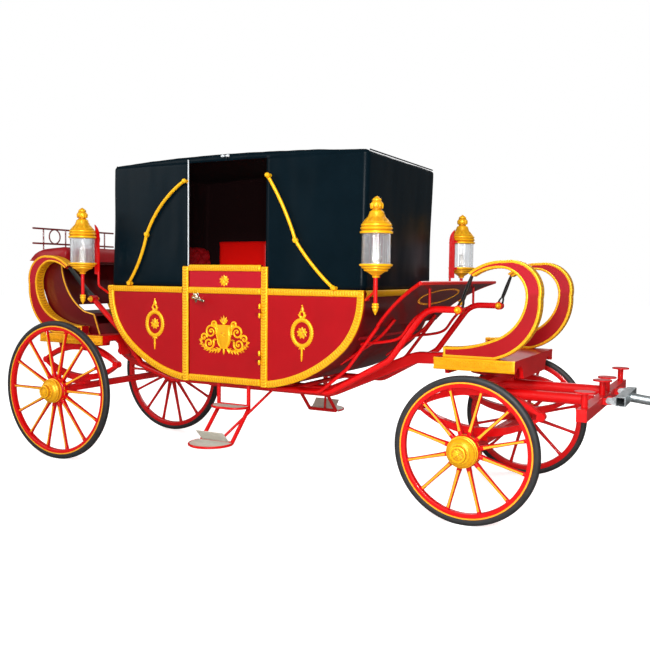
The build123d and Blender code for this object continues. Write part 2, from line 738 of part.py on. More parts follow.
# Upper turntable ring and kingpin, fixed under the front platform
ring_low_z = platform_bottom_z - turntable_ring
upper_ring = Pos(front_axle_x, 0, platform_bottom_z - turntable_ring / 2) * (
    Cylinder(turntable_out_r, turntable_ring) - Cylinder(turntable_in_r, turntable_ring))
pin_low_z = bolster_bottom_z - kingpin_r / 2
kingpin = Pos(front_axle_x, 0, (pin_low_z + platform_bottom_z) / 2) * Cylinder(
    kingpin_r, platform_bottom_z - pin_low_z)
save("turntable_upper", upper_ring, kingpin)

# Lower turntable ring on its cross bolster, which rests on the front springs
lower_top_z = ring_low_z - seat_gap
lower_low_z = lower_top_z - turntable_ring
lower = Pos(front_axle_x, 0, (lower_top_z + lower_low_z) / 2) * (
    Cylinder(turntable_out_r, turntable_ring) - Cylinder(turntable_in_r, turntable_ring))
lower += block(front_axle_x - bolster_half_x, front_axle_x + bolster_half_x, -bolster_half_length,
               bolster_half_length, bolster_bottom_z, lower_low_z + 0.5)
lower -= Pos(front_axle_x, 0, lower_low_z) * Cylinder(
    kingpin_r + running_clearance, 2 * (lower_top_z - bolster_bottom_z))
save("turntable_lower", lower)

# Draw frame: two futchells, the splinter bar across their ends and the lugs for the pole
futchell_rear_x = front_axle_x - futchell_behind
splinter_rear_x = splinter_x - splinter_width / 2
splinter_front_x = splinter_x + splinter_width / 2
draw = block(splinter_rear_x, splinter_front_x, -splinter_half_length, splinter_half_length,
             splinter_top_z - splinter_height, splinter_top_z)
half_lug = pole_lug / 2
for side in (-1, 1):
    y = side * futchell_y
    length = splinter_rear_x + wall / 5 - futchell_rear_x
    draw += Pos(futchell_rear_x + length / 2, y, futchell_z) * Rot(0, 90, 0) * Cylinder(futchell_r, length)
    draw += block(front_axle_x - bolster_half_x + 10.0, front_axle_x + bolster_half_x - 10.0,
                  y - futchell_r + 8.0, y + futchell_r - 8.0, futchell_z, bolster_bottom_z)
    lug = block(splinter_front_x - 1.0, pole_pivot_x, y - half_lug, y + half_lug,
                pole_pivot_z - pole_lug_r, pole_pivot_z + pole_lug_r / 2)
    lug += cross_bar(pole_pivot_x, y, pole_pivot_z, pole_lug_r, pole_lug)
    lug -= cross_bar(pole_pivot_x, y, pole_pivot_z, pole_pin_r + running_clearance, 2 * pole_lug)
    draw += lug
draw += cross_bar(futchell_rear_x + futchell_r, 0, futchell_z, 0.6 * futchell_r, 2 * futchell_y)

# Trace posts: four headed posts on the splinter bar that hold the traces
for y in (-trace_post_ys[1], -trace_post_ys[0], trace_post_ys[0], trace_post_ys[1]):
    neck = trace_post_height - trace_disc
    draw += Pos(splinter_x, y, splinter_top_z + neck / 2 - 0.5) * Cylinder(trace_post_r, neck + 1.0)
    draw += Pos(splinter_x, y, splinter_top_z + neck + trace_disc / 2) * Cylinder(trace_disc_r, trace_disc)
save("draw_frame", draw)

# Pole: a square cross tube on two hinge pins, with the long round pole from its middle
half_cross = pole_cross_size / 2
hollow_half = half_cross - pole_cross_wall
cross = block(pole_cross_x - half_cross, pole_cross_x + half_cross, -pole_cross_half, pole_cross_half,
              pole_pivot_z - half_cross, pole_pivot_z + half_cross)
cross -= block(pole_cross_x - hollow_half, pole_cross_x + hollow_half, -pole_cross_half - 1.0,
               pole_cross_half + 1.0, pole_pivot_z - hollow_half, pole_pivot_z + hollow_half)
cheek_r = pole_lug_r - 6.0
for side in (-1, 1):
    y = side * futchell_y
    for way in (-1, 1):
        inner = y + way * (half_lug + pole_cheek_gap)
        low, high = sorted((inner, inner + way * pole_cheek))
        plate = block(pole_pivot_x, pole_cross_x - half_cross + 1.0, low, high,
                      pole_pivot_z - cheek_r, pole_pivot_z + cheek_r)
        plate += cross_bar(pole_pivot_x, (low + high) / 2, pole_pivot_z, cheek_r, pole_cheek)
        cross += plate
    pin_length = pole_lug + 2 * pole_cheek_gap + 4 * pole_cheek
    cross += cross_bar(pole_pivot_x, y, pole_pivot_z, pole_pin_r, pin_length)
slope = Pos(pole_cross_x, 0, pole_pivot_z) * Rot(0, pole_slope_deg, 0)
pole_tube = slope * Pos(pole_length / 2, 0, 0) * Rot(0, 90, 0) * Cylinder(pole_r, pole_length)
pole_tube += slope * Pos(pole_length + pole_tip / 2 - 1.0, 0, 0) * Rot(0, 90, 0) * Cylinder(
    pole_tip_r, pole_tip + 2.0)
pole_tube &= block(pole_cross_x + half_cross - 1.0, 2 * pole_end_x, -far_y, far_y, 0, sky_z)
save("pole", cross + pole_tube)

# Lamps: gilt caps, bases and acorns, glass chimneys, red stems, and the boards that carry them
glass_z = belt_z + lamp_glass_above_belt
glass_top_z = glass_z + lamp_glass_height
cap_profile = [
    (0, 0), (lamp_ring_r, 0), (lamp_ring_r, 26), (98, 32), (102, 50), (94, 68), (72, 88), (54, 112), (44, 134),
    (40, 146), (28, 152), (27, 160), (38, 174), (38, 194), (30, 210), (14, 228), (0, 240),
]
base_profile = [
    (0, 0), (lamp_ring_r, 0), (lamp_ring_r, -22), (92, -30), (86, -46), (60, -60), (44, -74), (22, -90), (0, -90),
]
acorn_profile = [(0, 0), (22, 0), (22, -34), (12, -60), (0, -76)]
base_depth = 90.0
lamp_tops, lamp_glasses, lamp_carriers = [], [], []
for x, side, end_x in (
    (body_front_x + front_lamp_ahead, 1, body_front_x),
    (body_rear_x - rear_lamp_behind, -1, body_rear_x),
):
    cap = turned_upright(cap_profile, x, -lamp_y, glass_top_z)
    base = turned_upright(base_profile, x, -lamp_y, glass_z)
    stem_top = glass_z - base_depth
    stem_low = stem_top - lamp_stem_length
    acorn = turned_upright(acorn_profile, x, -lamp_y, stem_low)
    for piece in (cap, base, acorn):
        lamp_tops.extend(both_sides(piece))
    glass = Pos(x, -lamp_y, glass_z + lamp_glass_height / 2) * (
        Cylinder(lamp_glass_r, lamp_glass_height) - Cylinder(lamp_glass_r - lamp_glass_wall, lamp_glass_height))
    lamp_glasses.extend(both_sides(glass))
    stem = Pos(x, -lamp_y, (stem_top + stem_low) / 2) * Cylinder(lamp_stem_r, stem_top - stem_low)
    lamp_carriers.extend(both_sides(stem))
    # The board stands between the lamp and the body, with a curved point over the lamp's shoulder
    near_x, far_side_x = x - side * lamp_board_from, x - side * (lamp_board_from + lamp_board_width)
    low_z, shoulder_z, tip_z = glass_z - base_depth, glass_top_z + 22.0, glass_top_z + 112.0
    mid_z = (shoulder_z + tip_z) / 2
    board_face = make_face([
        Line((far_side_x, low_z), (near_x, low_z)),
        Line((near_x, low_z), (near_x, shoulder_z)),
        ThreePointArc((near_x, shoulder_z), (near_x - side * 0.2 * lamp_board_width, mid_z), (near_x, tip_z)),
        ThreePointArc((near_x, tip_z), (far_side_x + side * 0.2 * lamp_board_width, mid_z), (far_side_x, shoulder_z)),
        Line((far_side_x, shoulder_z), (far_side_x, low_z)),
    ])
    board_y = lamp_y - lamp_ring_r - seat_gap
    board = side_prism(board_face, -board_y, -board_y + lamp_board)
    for z in (glass_z - 11.0, glass_top_z + 13.0):
        low, high = sorted((x, far_side_x))
        board += block(low, high, -board_y, -board_y + lamp_board, z - 9.0, z + 9.0)
    arm_y = -board_y + lamp_board / 2
    arm_x = end_x + side * (lamp_arm_r + seat_gap)
    arm_z = belt_z - belt_moulding - 2 * lamp_arm_r
    inner_y = panel_in_y - wall
    board += rod([(far_side_x + side * lamp_arm_r, arm_y, low_z + 20.0),
                  (far_side_x + side * lamp_arm_r, arm_y, arm_z + 60.0),
                  (arm_x, -body_half_width, arm_z), (arm_x, -inner_y, arm_z)], lamp_arm_r, 30.0)
    lamp_carriers.extend(both_sides(board))
save("lamp_gilt", *lamp_tops)
save("lamp_glasses", *lamp_glasses)
save("lamp_carriers", *lamp_carriers)

# Dash board: a curved board that widens upwards and leans out over the front springs
dash_low = (body_front_x + 56.0, belt_z - 235.0)
dash_bend = (body_front_x + 230.0, belt_z - 68.0)
dash_top = (body_front_x + 463.0, belt_z + 63.0)
dash_low_half = 552.0
dash_bend_half = 632.0
dash_top_half = 812.0
dash_thickness = 22.0


def dash_line(down, right):
    points = [(x + right, z - down) for x, z in (dash_low, dash_bend, dash_top)]
    return ThreePointArc(*points)


upper_line = dash_line(0.0, 0.0)
under_line = dash_line(0.6 * dash_thickness, 0.8 * dash_thickness)
dash_profile = make_face([upper_line, under_line, Line(upper_line @ 0, under_line @ 0),
                          Line(upper_line @ 1, under_line @ 1)])
dash_plan = make_face([
    Line((dash_low[0] - wall, -dash_low_half), (dash_low[0] - wall, dash_low_half)),
    Line((dash_low[0] - wall, dash_low_half), (dash_low[0], dash_low_half)),
    ThreePointArc((dash_low[0], dash_low_half), (dash_bend[0], dash_bend_half), (dash_top[0], dash_top_half)),
    Line((dash_top[0], dash_top_half), (dash_top[0] + wall, dash_top_half)),
    Line((dash_top[0] + wall, dash_top_half), (dash_top[0] + wall, -dash_top_half)),
    Line((dash_top[0] + wall, -dash_top_half), (dash_top[0], -dash_top_half)),
    ThreePointArc((dash_top[0], -dash_top_half), (dash_bend[0], -dash_bend_half), (dash_low[0], -dash_low_half)),
    Line((dash_low[0], -dash_low_half), (dash_low[0] - wall, -dash_low_half)),
])
dash = side_prism(dash_profile, -dash_top_half, dash_top_half) & extrude(dash_plan, sky_z)
save("dash_board", dash)

# Dash irons: on each side a main iron from beside the bearer up to the dash's lower edge, and
# an upright from the bearer to the board
dash_iron_r = 13.0
dash_tie_r = 9.0
dash_iron_y = dash_low_half - dash_iron_r - 3.0
beside_bearer_y = suspension_y + bearer_r + dash_iron_r + seat_gap
edge_middle = (upper_line @ 0 + under_line @ 0) * 0.5
edge_way = (under_line @ 0 - upper_line @ 0).normalized()
iron_end = (edge_middle.X + seat_gap * edge_way.Y, edge_middle.Y - seat_gap * edge_way.X)
iron_run = 390.0
iron_knee = (iron_end[0] + iron_run * edge_way.Y, iron_end[1] - iron_run * edge_way.X)
main_iron = rod([
    (body_front_x - 570.0, -beside_bearer_y, bearer_z),
    (body_front_x - 410.0, -beside_bearer_y, bearer_z),
    (iron_knee[0], -dash_iron_y, iron_knee[1]),
    (iron_end[0], -dash_iron_y, iron_end[1]),
], dash_iron_r, 100.0)
upright_x = front_eye[0] - 206.0
upright = rod([(upright_x, -suspension_y, front_eye[1] - 20.0),
               (upright_x, -suspension_y, dash_top[1])], dash_tie_r, 0.0)
upright = largest(upright - dash - bearers)
save("dash_irons", *both_sides(main_iron), *both_sides(upright))

# Groom's seat over the rear platform: two scrolled sides, seat, back and foot boards
rumble_half = 410.0
rumble_board = 22.0
rumble_seat_z = platform_top_z + 624.0
foot_board_z = platform_top_z + 176.0


def rumble_at(run, rise):
    """A place in side view, ahead of the seat's rear tip and above the rear platform."""
    return (rumble_rear_x + run, platform_top_z + rise)


rumble_side_face = make_face([
    Line(rumble_at(95, 624), rumble_at(390, 624)),
    ThreePointArc(rumble_at(390, 624), rumble_at(465, 366), rumble_at(660, 191)),
    Line(rumble_at(660, 191), rumble_at(770, 168)),
    Line(rumble_at(770, 168), rumble_at(835, 0)),
    Line(rumble_at(835, 0), rumble_at(360, 0)),
    ThreePointArc(rumble_at(360, 0), rumble_at(205, 296), rumble_at(95, 624)),
])
rumble = side_prism(rumble_side_face, -rumble_half, rumble_half)
room_low = rumble_at(250, 176)
room_high = rumble_at(130, 624 - rumble_board)
room = side_prism(make_face([
    Line(room_high, (0, room_high[1])),
    Line((0, room_high[1]), (0, foot_board_z)),
    Line((0, foot_board_z), room_low),
    ThreePointArc(room_low, rumble_at(185, 406), room_high),
]), -rumble_half + rumble_board, rumble_half - rumble_board)
under = block(rumble_at(380, 0)[0], rumble_at(800, 0)[0], -rumble_half + rumble_board,
              rumble_half - rumble_board, platform_top_z - 1.0, foot_board_z - rumble_board)
rumble = rumble - room - under
save("rumble_body", rumble)
cushion_face = make_face([
    Line(rumble_at(455, 624), rumble_at(0, 624)),
    ThreePointArc(rumble_at(0, 624), rumble_at(58, 704), rumble_at(200, 738)),
    Line(rumble_at(200, 738), rumble_at(410, 754)),
    ThreePointArc(rumble_at(410, 754), rumble_at(446, 730), rumble_at(455, 686)),
    Line(rumble_at(455, 686), rumble_at(455, 624)),
])
rumble_cushion = side_prism(cushion_face, -rumble_half - 8.0, rumble_half + 8.0)
rail_x = rumble_rear_x + 140.0
rail_r = 8.0
rail_top_z = rumble_seat_z + 290.0
rail_low_z = rumble_seat_z + 158.0
rail_half = 500.0
rail_post_r = rail_r - 1.5
rail = cross_bar(rail_x, 0, rail_top_z, rail_r, 2 * rail_half)
rail += cross_bar(rail_x, 0, rail_low_z, rail_r, 2 * rail_half)
for y in (-380.0, -120.0, 120.0, 380.0):
    rail += Pos(rail_x, y, (rumble_seat_z + rail_top_z) / 2) * Cylinder(rail_post_r, rail_top_z - rumble_seat_z)
    rumble_cushion -= Pos(rail_x, y, rail_low_z) * Cylinder(rail_r + seat_gap, 2 * (rail_low_z - rumble_seat_z))
ring_r = (rail_top_z - rail_low_z) / 2 - 3.0
for y in (-250.0, 0.0, 250.0):
    rail += Pos(rail_x, y, (rail_top_z + rail_low_z) / 2) * Rot(0, 90, 0) * Torus(ring_r, rail_r - 2.0)
save("rumble_cushion", rumble_cushion)
save("rumble_rail", rail)

# Steps: two rails a side from the body's sill, an upper and a lower leaf-shaped tread, a plate
# behind the lower one and a stay back up to the sill
step_half = 134.0
step_middle_x = body_middle_x + door_ahead + 62.0
step_xs = (step_middle_x - step_half, step_middle_x + step_half)
step_r = 15.0
stay_r = 10.0
step_y = body_half_width - 38.5
upper_tread_z = body_bottom_z - 155.0
upper_tread_depth = 120.0
lower_tread_z = body_bottom_z - 390.0
lower_tread_depth = 215.0
lower_tread_y = step_y + 215.0
tread_thickness = 16.0
tread_half = step_half + step_r
kick_height = 110.0
kick_thickness = 4.0


def tread(y, z, depth):
    """A tread with a straight back and a front edge of two arcs that meet in a point."""
    right, left = (step_middle_x + tread_half, -y), (step_middle_x - tread_half, -y)
    front = (step_middle_x, -y - depth)
    shoulder, shoulder_y = 0.86 * tread_half, -y - 0.66 * depth
    face = make_face([
        Line(left, right),
        ThreePointArc(right, (step_middle_x + shoulder, shoulder_y), front),
        ThreePointArc(front, (step_middle_x - shoulder, shoulder_y), left),
    ])
    return extrude(Plane.XY.offset(z - tread_thickness) * face, tread_thickness)


upper = tread(step_y + step_r + seat_gap, upper_tread_z, upper_tread_depth)
lower = tread(lower_tread_y + step_r + seat_gap, lower_tread_z, lower_tread_depth)
sill_z = body_bottom_z - seat_gap
elbow_z = upper_tread_z - 25.0
bar_drop = tread_thickness / 2
frame = rod([(step_middle_x + 20.0, -lower_tread_y, lower_tread_z - bar_drop),
             (step_middle_x + 2 * step_half, -step_y + lower_tread_depth, sill_z)], stay_r, 0.0)
frame &= block(-far_x, far_x, -far_y, 0, 0, sill_z)
for x in step_xs:
    frame += rod([(x, -step_y, sill_z), (x, -step_y, elbow_z), (x, -lower_tread_y, lower_tread_z - bar_drop)],
                 step_r, 40.0)
for y, z in ((step_y, upper_tread_z - bar_drop), (lower_tread_y, lower_tread_z - bar_drop)):
    frame += rod([(step_xs[0], -y, z), (step_xs[1], -y, z)], step_r, 0.0)
for piece in (upper, lower):
    frame -= piece
frame = largest(frame)
lean = math.degrees(math.atan2(lower_tread_y - step_y, elbow_z - lower_tread_z))
kick = Pos(0, 0, kick_height / 2 + step_r) * Box(2 * (step_half - step_r - seat_gap), kick_thickness, kick_height)
kick = Pos(step_middle_x, -lower_tread_y, lower_tread_z - bar_drop) * Rot(lean, 0, 0) * kick
kick = largest(kick - frame)
save("step_frames", *both_sides(frame))
save("step_treads", *both_sides(upper), *both_sides(lower), *both_sides(kick))
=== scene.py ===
import math

import bmesh
import bpy
import numpy as np
from mathutils import Matrix, Vector, noise


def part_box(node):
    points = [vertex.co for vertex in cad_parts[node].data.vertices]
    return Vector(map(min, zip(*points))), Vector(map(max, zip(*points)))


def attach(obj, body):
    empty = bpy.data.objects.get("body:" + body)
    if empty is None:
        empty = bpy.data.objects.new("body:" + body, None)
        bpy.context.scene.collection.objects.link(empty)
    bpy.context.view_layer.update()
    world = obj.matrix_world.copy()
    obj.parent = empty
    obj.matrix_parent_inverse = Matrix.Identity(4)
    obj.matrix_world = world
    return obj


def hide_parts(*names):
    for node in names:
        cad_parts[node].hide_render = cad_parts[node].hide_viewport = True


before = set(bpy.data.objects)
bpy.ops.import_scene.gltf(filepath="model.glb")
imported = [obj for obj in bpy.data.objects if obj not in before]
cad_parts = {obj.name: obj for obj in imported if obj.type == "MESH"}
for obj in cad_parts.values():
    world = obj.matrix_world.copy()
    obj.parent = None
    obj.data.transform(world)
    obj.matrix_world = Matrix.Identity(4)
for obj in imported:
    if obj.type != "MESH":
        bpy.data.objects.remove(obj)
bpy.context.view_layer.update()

# Rubber tyres. Each is a solid band of black rubber set in a steel channel round the wheel.
# The crown is rounded and the rubber is mottled a little grey with dust, so it never looks
# flat black. All lengths below are in millimetres from mid-wheelbase, the middle of the car.
mm = 0.001
front_low, front_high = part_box("tyre_front_right")
rear_low, rear_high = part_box("tyre_rear_right")
front_axle = (front_low.x + front_high.x) / 2
rear_axle = (rear_low.x + rear_high.x) / 2
middle_x = (front_axle + rear_axle) / 2
half_wheelbase = (front_axle - rear_axle) / 2 / mm
wheel_y = -(front_low.y + front_high.y) / 2 / mm
tyre_width = (front_high.y - front_low.y) / mm
wheels = (
    # end, x, wheel radius, spokes
    ("rear", -half_wheelbase, rear_high.z / mm / 2, 14),
    ("front", half_wheelbase, front_high.z / mm / 2, 12),
)
sides = (("right", -1), ("left", 1))


def linear(sheet):
    """A colour written as an sRGB hex value, as linear light with alpha."""
    channels = [int(sheet[i:i + 2], 16) / 255 for i in (0, 2, 4)]
    return [c / 12.92 if c <= 0.04045 else ((c + 0.055) / 1.055) ** 2.4 for c in channels] + [1.0]


def feed(tree, made, inputs):
    """Gives a node's inputs their values, or the output sockets that drive them."""
    for key, value in inputs.items():
        if isinstance(value, bpy.types.NodeSocket):
            tree.links.new(value, made.inputs[key])
        else:
            made.inputs[key].default_value = value
    return made


def add(tree, kind, inputs, **settings):
    """Adds one node with its settings, values and links."""
    made = tree.nodes.new(kind)
    for key, value in settings.items():
        setattr(made, key, value)
    return feed(tree, made, inputs)


def new_finish(name):
    """A material, its tree, its shader and the place on the object in metres."""
    material = bpy.data.materials.new(name)
    material.use_nodes = True
    tree = material.node_tree
    place = add(tree, "ShaderNodeTexCoord", {}).outputs["Object"]
    return material, tree, tree.nodes["Principled BSDF"], place


def mottled(tree, place, size, detail, low, high):
    """Soft noise of a size in millimetres, and the colour that it mixes from two."""
    cloud = add(tree, "ShaderNodeTexNoise", {"Vector": place, "Scale": 1 / (size * mm), "Detail": detail})
    colour = add(tree, "ShaderNodeMix", {0: cloud.outputs["Fac"], 6: linear(low), 7: linear(high)},
                 data_type="RGBA")
    return cloud.outputs["Fac"], colour.outputs[2]


def rippled(tree, place, size, strength, depth, detail=2.0):
    """The normal of a surface that noise of a size raises by a depth, both in millimetres."""
    ripple = add(tree, "ShaderNodeTexNoise", {"Vector": place, "Scale": 1 / (size * mm), "Detail": detail})
    bump = add(tree, "ShaderNodeBump", {"Height": ripple.outputs["Fac"], "Strength": strength,
                                        "Distance": depth * mm})
    return bump.outputs["Normal"]


def sheet_of(points):
    """Faces over rows and columns of points, an array of rows by columns by 3."""
    rows, columns = points.shape[:2]
    index = np.arange(rows * columns).reshape(rows, columns)
    corners = [index[:-1, :-1], index[:-1, 1:], index[1:, 1:], index[1:, :-1]]
    return points.reshape(-1, 3), np.stack(corners, axis=-1).reshape(-1, 4).tolist()


def turned(profile, count=72):
    """A profile of (radius, height) turned about the height axis."""
    angle = np.linspace(0, 2 * math.pi, count + 1)[:, None]
    radius = np.array([p[0] for p in profile])[None, :]
    height = np.array([p[1] for p in profile])[None, :] + 0 * angle
    return sheet_of(np.stack([radius * np.cos(angle), radius * np.sin(angle), height], axis=-1))


def joined(forms):
    """Several forms as one."""
    points, faces, start = [], [], 0
    for form_points, form_faces in forms:
        points.append(np.asarray(form_points, float))
        faces += [[start + i for i in face] for face in form_faces]
        start += len(form_points)
    return np.concatenate(points), faces


def placed(form, across, up, out, at):
    """A form given in (u, v, height), laid with those three along across, up and out."""
    base = np.array([across, up, out], float)
    return form[0] @ base + np.array(at, float), form[1]


def facing(form, side, at):
    """A form stood up so that its height points out of one side of the vehicle."""
    return placed(form, (1, 0, 0), (0, 0, 1), (0, side, 0), at)


def far_side(form):
    """The mirror image of a form."""
    return form[0] * np.array([1.0, -1.0, 1.0]), form[1]


def both(forms):
    """Forms of the right side with their mirror images, as one."""
    return joined(forms + [far_side(form) for form in forms])


def build(name, form, finish, body, stands_for=(), crease_deg=38.0):
    """Makes a piece of a form in millimetres, and hangs it on the body it belongs to."""
    mesh = bpy.data.meshes.new(name)
    points = form[0] * mm + np.array([middle_x, 0.0, 0.0])
    mesh.from_pydata(points.tolist(), [], form[1])
    shape = bmesh.new()
    shape.from_mesh(mesh)
    bmesh.ops.remove_doubles(shape, verts=shape.verts, dist=0.02 * mm)
    bmesh.ops.dissolve_degenerate(shape, edges=shape.edges, dist=0.005 * mm)
    bmesh.ops.recalc_face_normals(shape, faces=shape.faces)
    shape.to_mesh(mesh)
    shape.free()
    for polygon in mesh.polygons:
        polygon.use_smooth = True
    mesh.set_sharp_from_angle(angle=math.radians(crease_deg))
    mesh.materials.append(finish)
    made = bpy.data.objects.new(name, mesh)
    bpy.context.scene.collection.objects.link(made)
    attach(made, body)
    if stands_for:
        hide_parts(*stands_for)
    return made


# Natural rubber: matt, dark grey rather than black, with dust and fine moulding grain.
rubber, tree, shader, place = new_finish("solid_rubber")
dust, colour = mottled(tree, place, 60, 6.0, "161618", "2B2B2C")
rough = add(tree, "ShaderNodeMapRange", {"Value": dust, "To Min": 0.42, "To Max": 0.7})
feed(tree, shader, {"Base Color": colour, "Roughness": rough.outputs["Result"], "IOR": 1.52,
                    "Normal": rippled(tree, place, 3, 0.25, 0.6, 3.0)})

tyre_depth = 38.0
for end, x, radius, _ in wheels:
    half = tyre_width / 2
    inner = radius - tyre_depth
    profile = [(inner, -half + 3), (inner + 12, -half), (radius - 17, -half), (radius - 11, -half + 2)]
    profile += [(radius - 15 + 15 * math.sin(a), -half + 17 - 15 * math.cos(a))
                for a in np.linspace(0.5, 1.45, 5)]
    profile += [(r, -h) for r, h in reversed(profile)] + [profile[0]]
    for side_name, side in sides:
        form = facing(turned(profile, 128), side, (x, side * wheel_y, radius))
        build(f"rubber_tyre_{end}_{side_name}", form, rubber, f"{end}_{side_name}_wheel",
              [f"tyre_{end}_{side_name}"])

# Wooden wheels. Turned and bent ash: a felloe, tapered oval spokes with thicker shoulders at
# the nave, and the nave itself, all in coach red. Gold stripes are lined on by brush.
# Coach enamel is deep gloss varnish over colour, with a slight ripple from the brush.
def coach_enamel(name, low, high, cloud_size, ripple, shine, upper=None):
    """Enamel clouded between two colours, with its ripple (size, strength, depth) and its shine
    (roughness, IOR, coat, coat roughness); upper is its colour above the belt, if another."""
    finish, tree, shader, place = new_finish(name)
    _, colour = mottled(tree, place, cloud_size, 4.0, low, high)
    if upper:
        rise = add(tree, "ShaderNodeSeparateXYZ", {"Vector": place})
        above = add(tree, "ShaderNodeMapRange", {"Value": rise.outputs["Z"], "From Min": 1.44,
                                                 "From Max": 1.46})
        colour = add(tree, "ShaderNodeMix", {0: above.outputs["Result"], 6: colour, 7: linear(upper)},
                     data_type="RGBA").outputs[2]
    roughness, ior, coat, coat_roughness = shine
    feed(tree, shader, {"Base Color": colour, "Roughness": roughness, "IOR": ior, "Coat Weight": coat,
                        "Coat Roughness": coat_roughness, "Normal": rippled(tree, place, *ripple)})
    return finish


coach_red = coach_enamel("coach_red_enamel", "B80104", "CE0305", 220, (14, 0.12, 0.4),
                         (0.38, 1.3, 0.35, 0.05))

# Lining gold: powdered bronze in varnish, warm yellow, satin, a little uneven in the stroke.
lining_gold, tree, shader, place = new_finish("lining_gold")
_, colour = mottled(tree, place, 25, 5.0, "F0A010", "FFC430")
feed(tree, shader, {"Base Color": colour, "Roughness": 0.4, "Metallic": 0.35, "Coat Weight": 0.5,
                    "Coat Roughness": 0.15})

nave_r, nave_in, nave_out = 104.0, -65.0, 41.0
spoke_table = (
    # share of the length, size across, size along the axle
    (0.0, 32.0, 41.0),
    (0.10, 31.0, 39.0),
    (0.20, 26.0, 34.0),
    (0.55, 22.0, 28.5),
    (0.86, 21.0, 27.5),
    (0.95, 25.0, 31.0),
    (1.0, 26.0, 32.0),
)


def spun(form, count, start_deg=0.0, reach=0.0):
    """Copies of a form set round the origin, its v axis pointing outward."""
    copies = []
    for number in range(count):
        angle = 2 * math.pi * number / count + math.radians(start_deg)
        across, up = (math.cos(angle), -math.sin(angle), 0), (math.sin(angle), math.cos(angle), 0)
        at = (reach * up[0], reach * up[1], 0)
        copies.append(placed(form, across, up, (0, 0, 1), at))
    return joined(copies)


nave_profile = [(28, nave_in), (nave_r - 30, nave_in), (nave_r - 26, nave_in + 4),
                (nave_r - 16, nave_in + 20), (nave_r - 3, nave_in + 32), (nave_r, nave_in + 38),
                (nave_r, nave_out - 14), (nave_r - 4, nave_out - 10), (nave_r - 4, nave_out - 5),
                (nave_r - 8, nave_out), (28, nave_out)]
nave_line = [(nave_r - 0.5, 12), (nave_r + 0.8, 12), (nave_r + 0.8, 18), (nave_r - 0.5, 18)]
felloe_depth, spoke_in_nave, spoke_in_felloe = 38.0, 6.0, 3.0
for end, x, radius, spokes in wheels:
    rim = radius - tyre_depth
    inner = rim - felloe_depth
    felloe = [(rim, -20), (rim, 20), (rim - 4, 22), (inner + 8, 22), (inner + 2, 19), (inner, 13),
              (inner, -13), (inner + 2, -19), (inner + 8, -22), (rim - 4, -22), (rim, -20)]
    felloe_line = [(rim - 11, 21.8), (rim - 11, 22.8), (rim - 2, 22.8), (rim - 2, 21.6)]
    start, length = nave_r - spoke_in_nave, inner + spoke_in_felloe - (nave_r - spoke_in_nave)
    turn = np.linspace(0, 2 * math.pi, 17)
    rows, stripe = [], []
    for share, wide, deep in spoke_table:
        across = wide / 2 * np.sign(np.cos(turn)) * np.abs(np.cos(turn)) ** 0.7
        along = deep / 2 * np.sign(np.sin(turn)) * np.abs(np.sin(turn)) ** 0.7
        rows.append(np.stack([across, start + share * length + 0 * turn, along], axis=-1))
    for share, wide, deep in spoke_table[1:-1]:
        reach = start + share * length
        half, face = wide * 0.27, deep / 2 + 0.7
        stripe.append([(-half, reach, face - 1.6), (-half, reach, face), (half, reach, face),
                       (half, reach, face - 1.6)])
    half_pitch_deg = 180.0 / spokes
    wood = joined([turned(felloe, 128), turned(nave_profile),
                   spun(sheet_of(np.array(rows)), spokes, half_pitch_deg)])
    gold = joined([turned(felloe_line, 128), turned(nave_line, 64),
                   spun(sheet_of(np.array(stripe)), spokes, half_pitch_deg)])
    for side_name, side in sides:
        at = (x, side * wheel_y, radius)
        body = f"{end}_{side_name}_wheel"
        build(f"wooden_wheel_{end}_{side_name}", facing(wood, side, at), coach_red, body,
              [f"wheel_{end}_{side_name}"])
        build(f"wheel_lining_{end}_{side_name}", facing(gold, side, at), lining_gold, body)

# Hubs. Cast brass barrels, gilded: a flange against the nave, a beaded shoulder, a dome, and
# a boss whose end carries a rosette of petals. The cap screws over the axle end.
# Gilded brass: warm yellow metal, with painted shade browning the recesses and a painted highlight on high
# edges.
gilt, tree, shader, place = new_finish("gilded_cast_brass")
# Painted shade and highlight: pointiness mixes a darker brown into the recesses and keeps the high edges the
# full bright gilt.
edge = add(tree, "ShaderNodeNewGeometry", {})
high = add(tree, "ShaderNodeMapRange", {"Value": edge.outputs["Pointiness"], "From Min": 0.44,
                                        "From Max": 0.54})
patina, bright_gilt = mottled(tree, place, 35, 6.0, "FFB000", "FFC81C")
colour = add(tree, "ShaderNodeMix", {0: high.outputs["Result"], 6: linear("C67A10"), 7: bright_gilt},
             data_type="RGBA")
rough = add(tree, "ShaderNodeMapRange", {"Value": patina, "To Min": 0.28, "To Max": 0.46})
feed(tree, shader, {"Base Color": colour.outputs[2], "Metallic": 0.4, "Roughness": rough.outputs["Result"],
                    "Normal": rippled(tree, place, 7, 0.2, 0.5, 3.0)})


def bead(radius, height, rings=5, count=12):
    """A round-headed knob standing on the face."""
    turn = np.linspace(0, math.pi / 2, rings)
    return turned([(radius * math.cos(a), height * math.sin(a)) for a in turn], count)


def leaf(length, width, height, curl=0.0, rows=9, columns=7):
    """A pointed leaf with a ridge and turned-down edges, from its root at the origin along v."""
    points = []
    for share in np.linspace(0, 1, rows):
        half = width / 2 * math.sin(math.pi * share ** 0.75) ** 0.8 if 0 < share < 1 else 0.0
        row = []
        for across in np.linspace(-1, 1, columns):
            rise = height * (1 - abs(across) ** 1.6) * (0.35 + 0.65 * math.sin(math.pi * min(share + 0.1, 1)))
            bend = curl * length * share ** 2
            row.append((half * across + bend, length * share, rise))
        points.append(row)
    return sheet_of(np.array(points))


def shifted(form, u, v, h=0.0, turn_deg=0.0, size=1.0):
    """A form turned about its height axis, sized and moved."""
    a = math.radians(turn_deg)
    base = np.array([[math.cos(a), math.sin(a), 0], [-math.sin(a), math.cos(a), 0], [0, 0, 1]]) * size
    return form[0] @ base + np.array([u, v, h]), form[1]


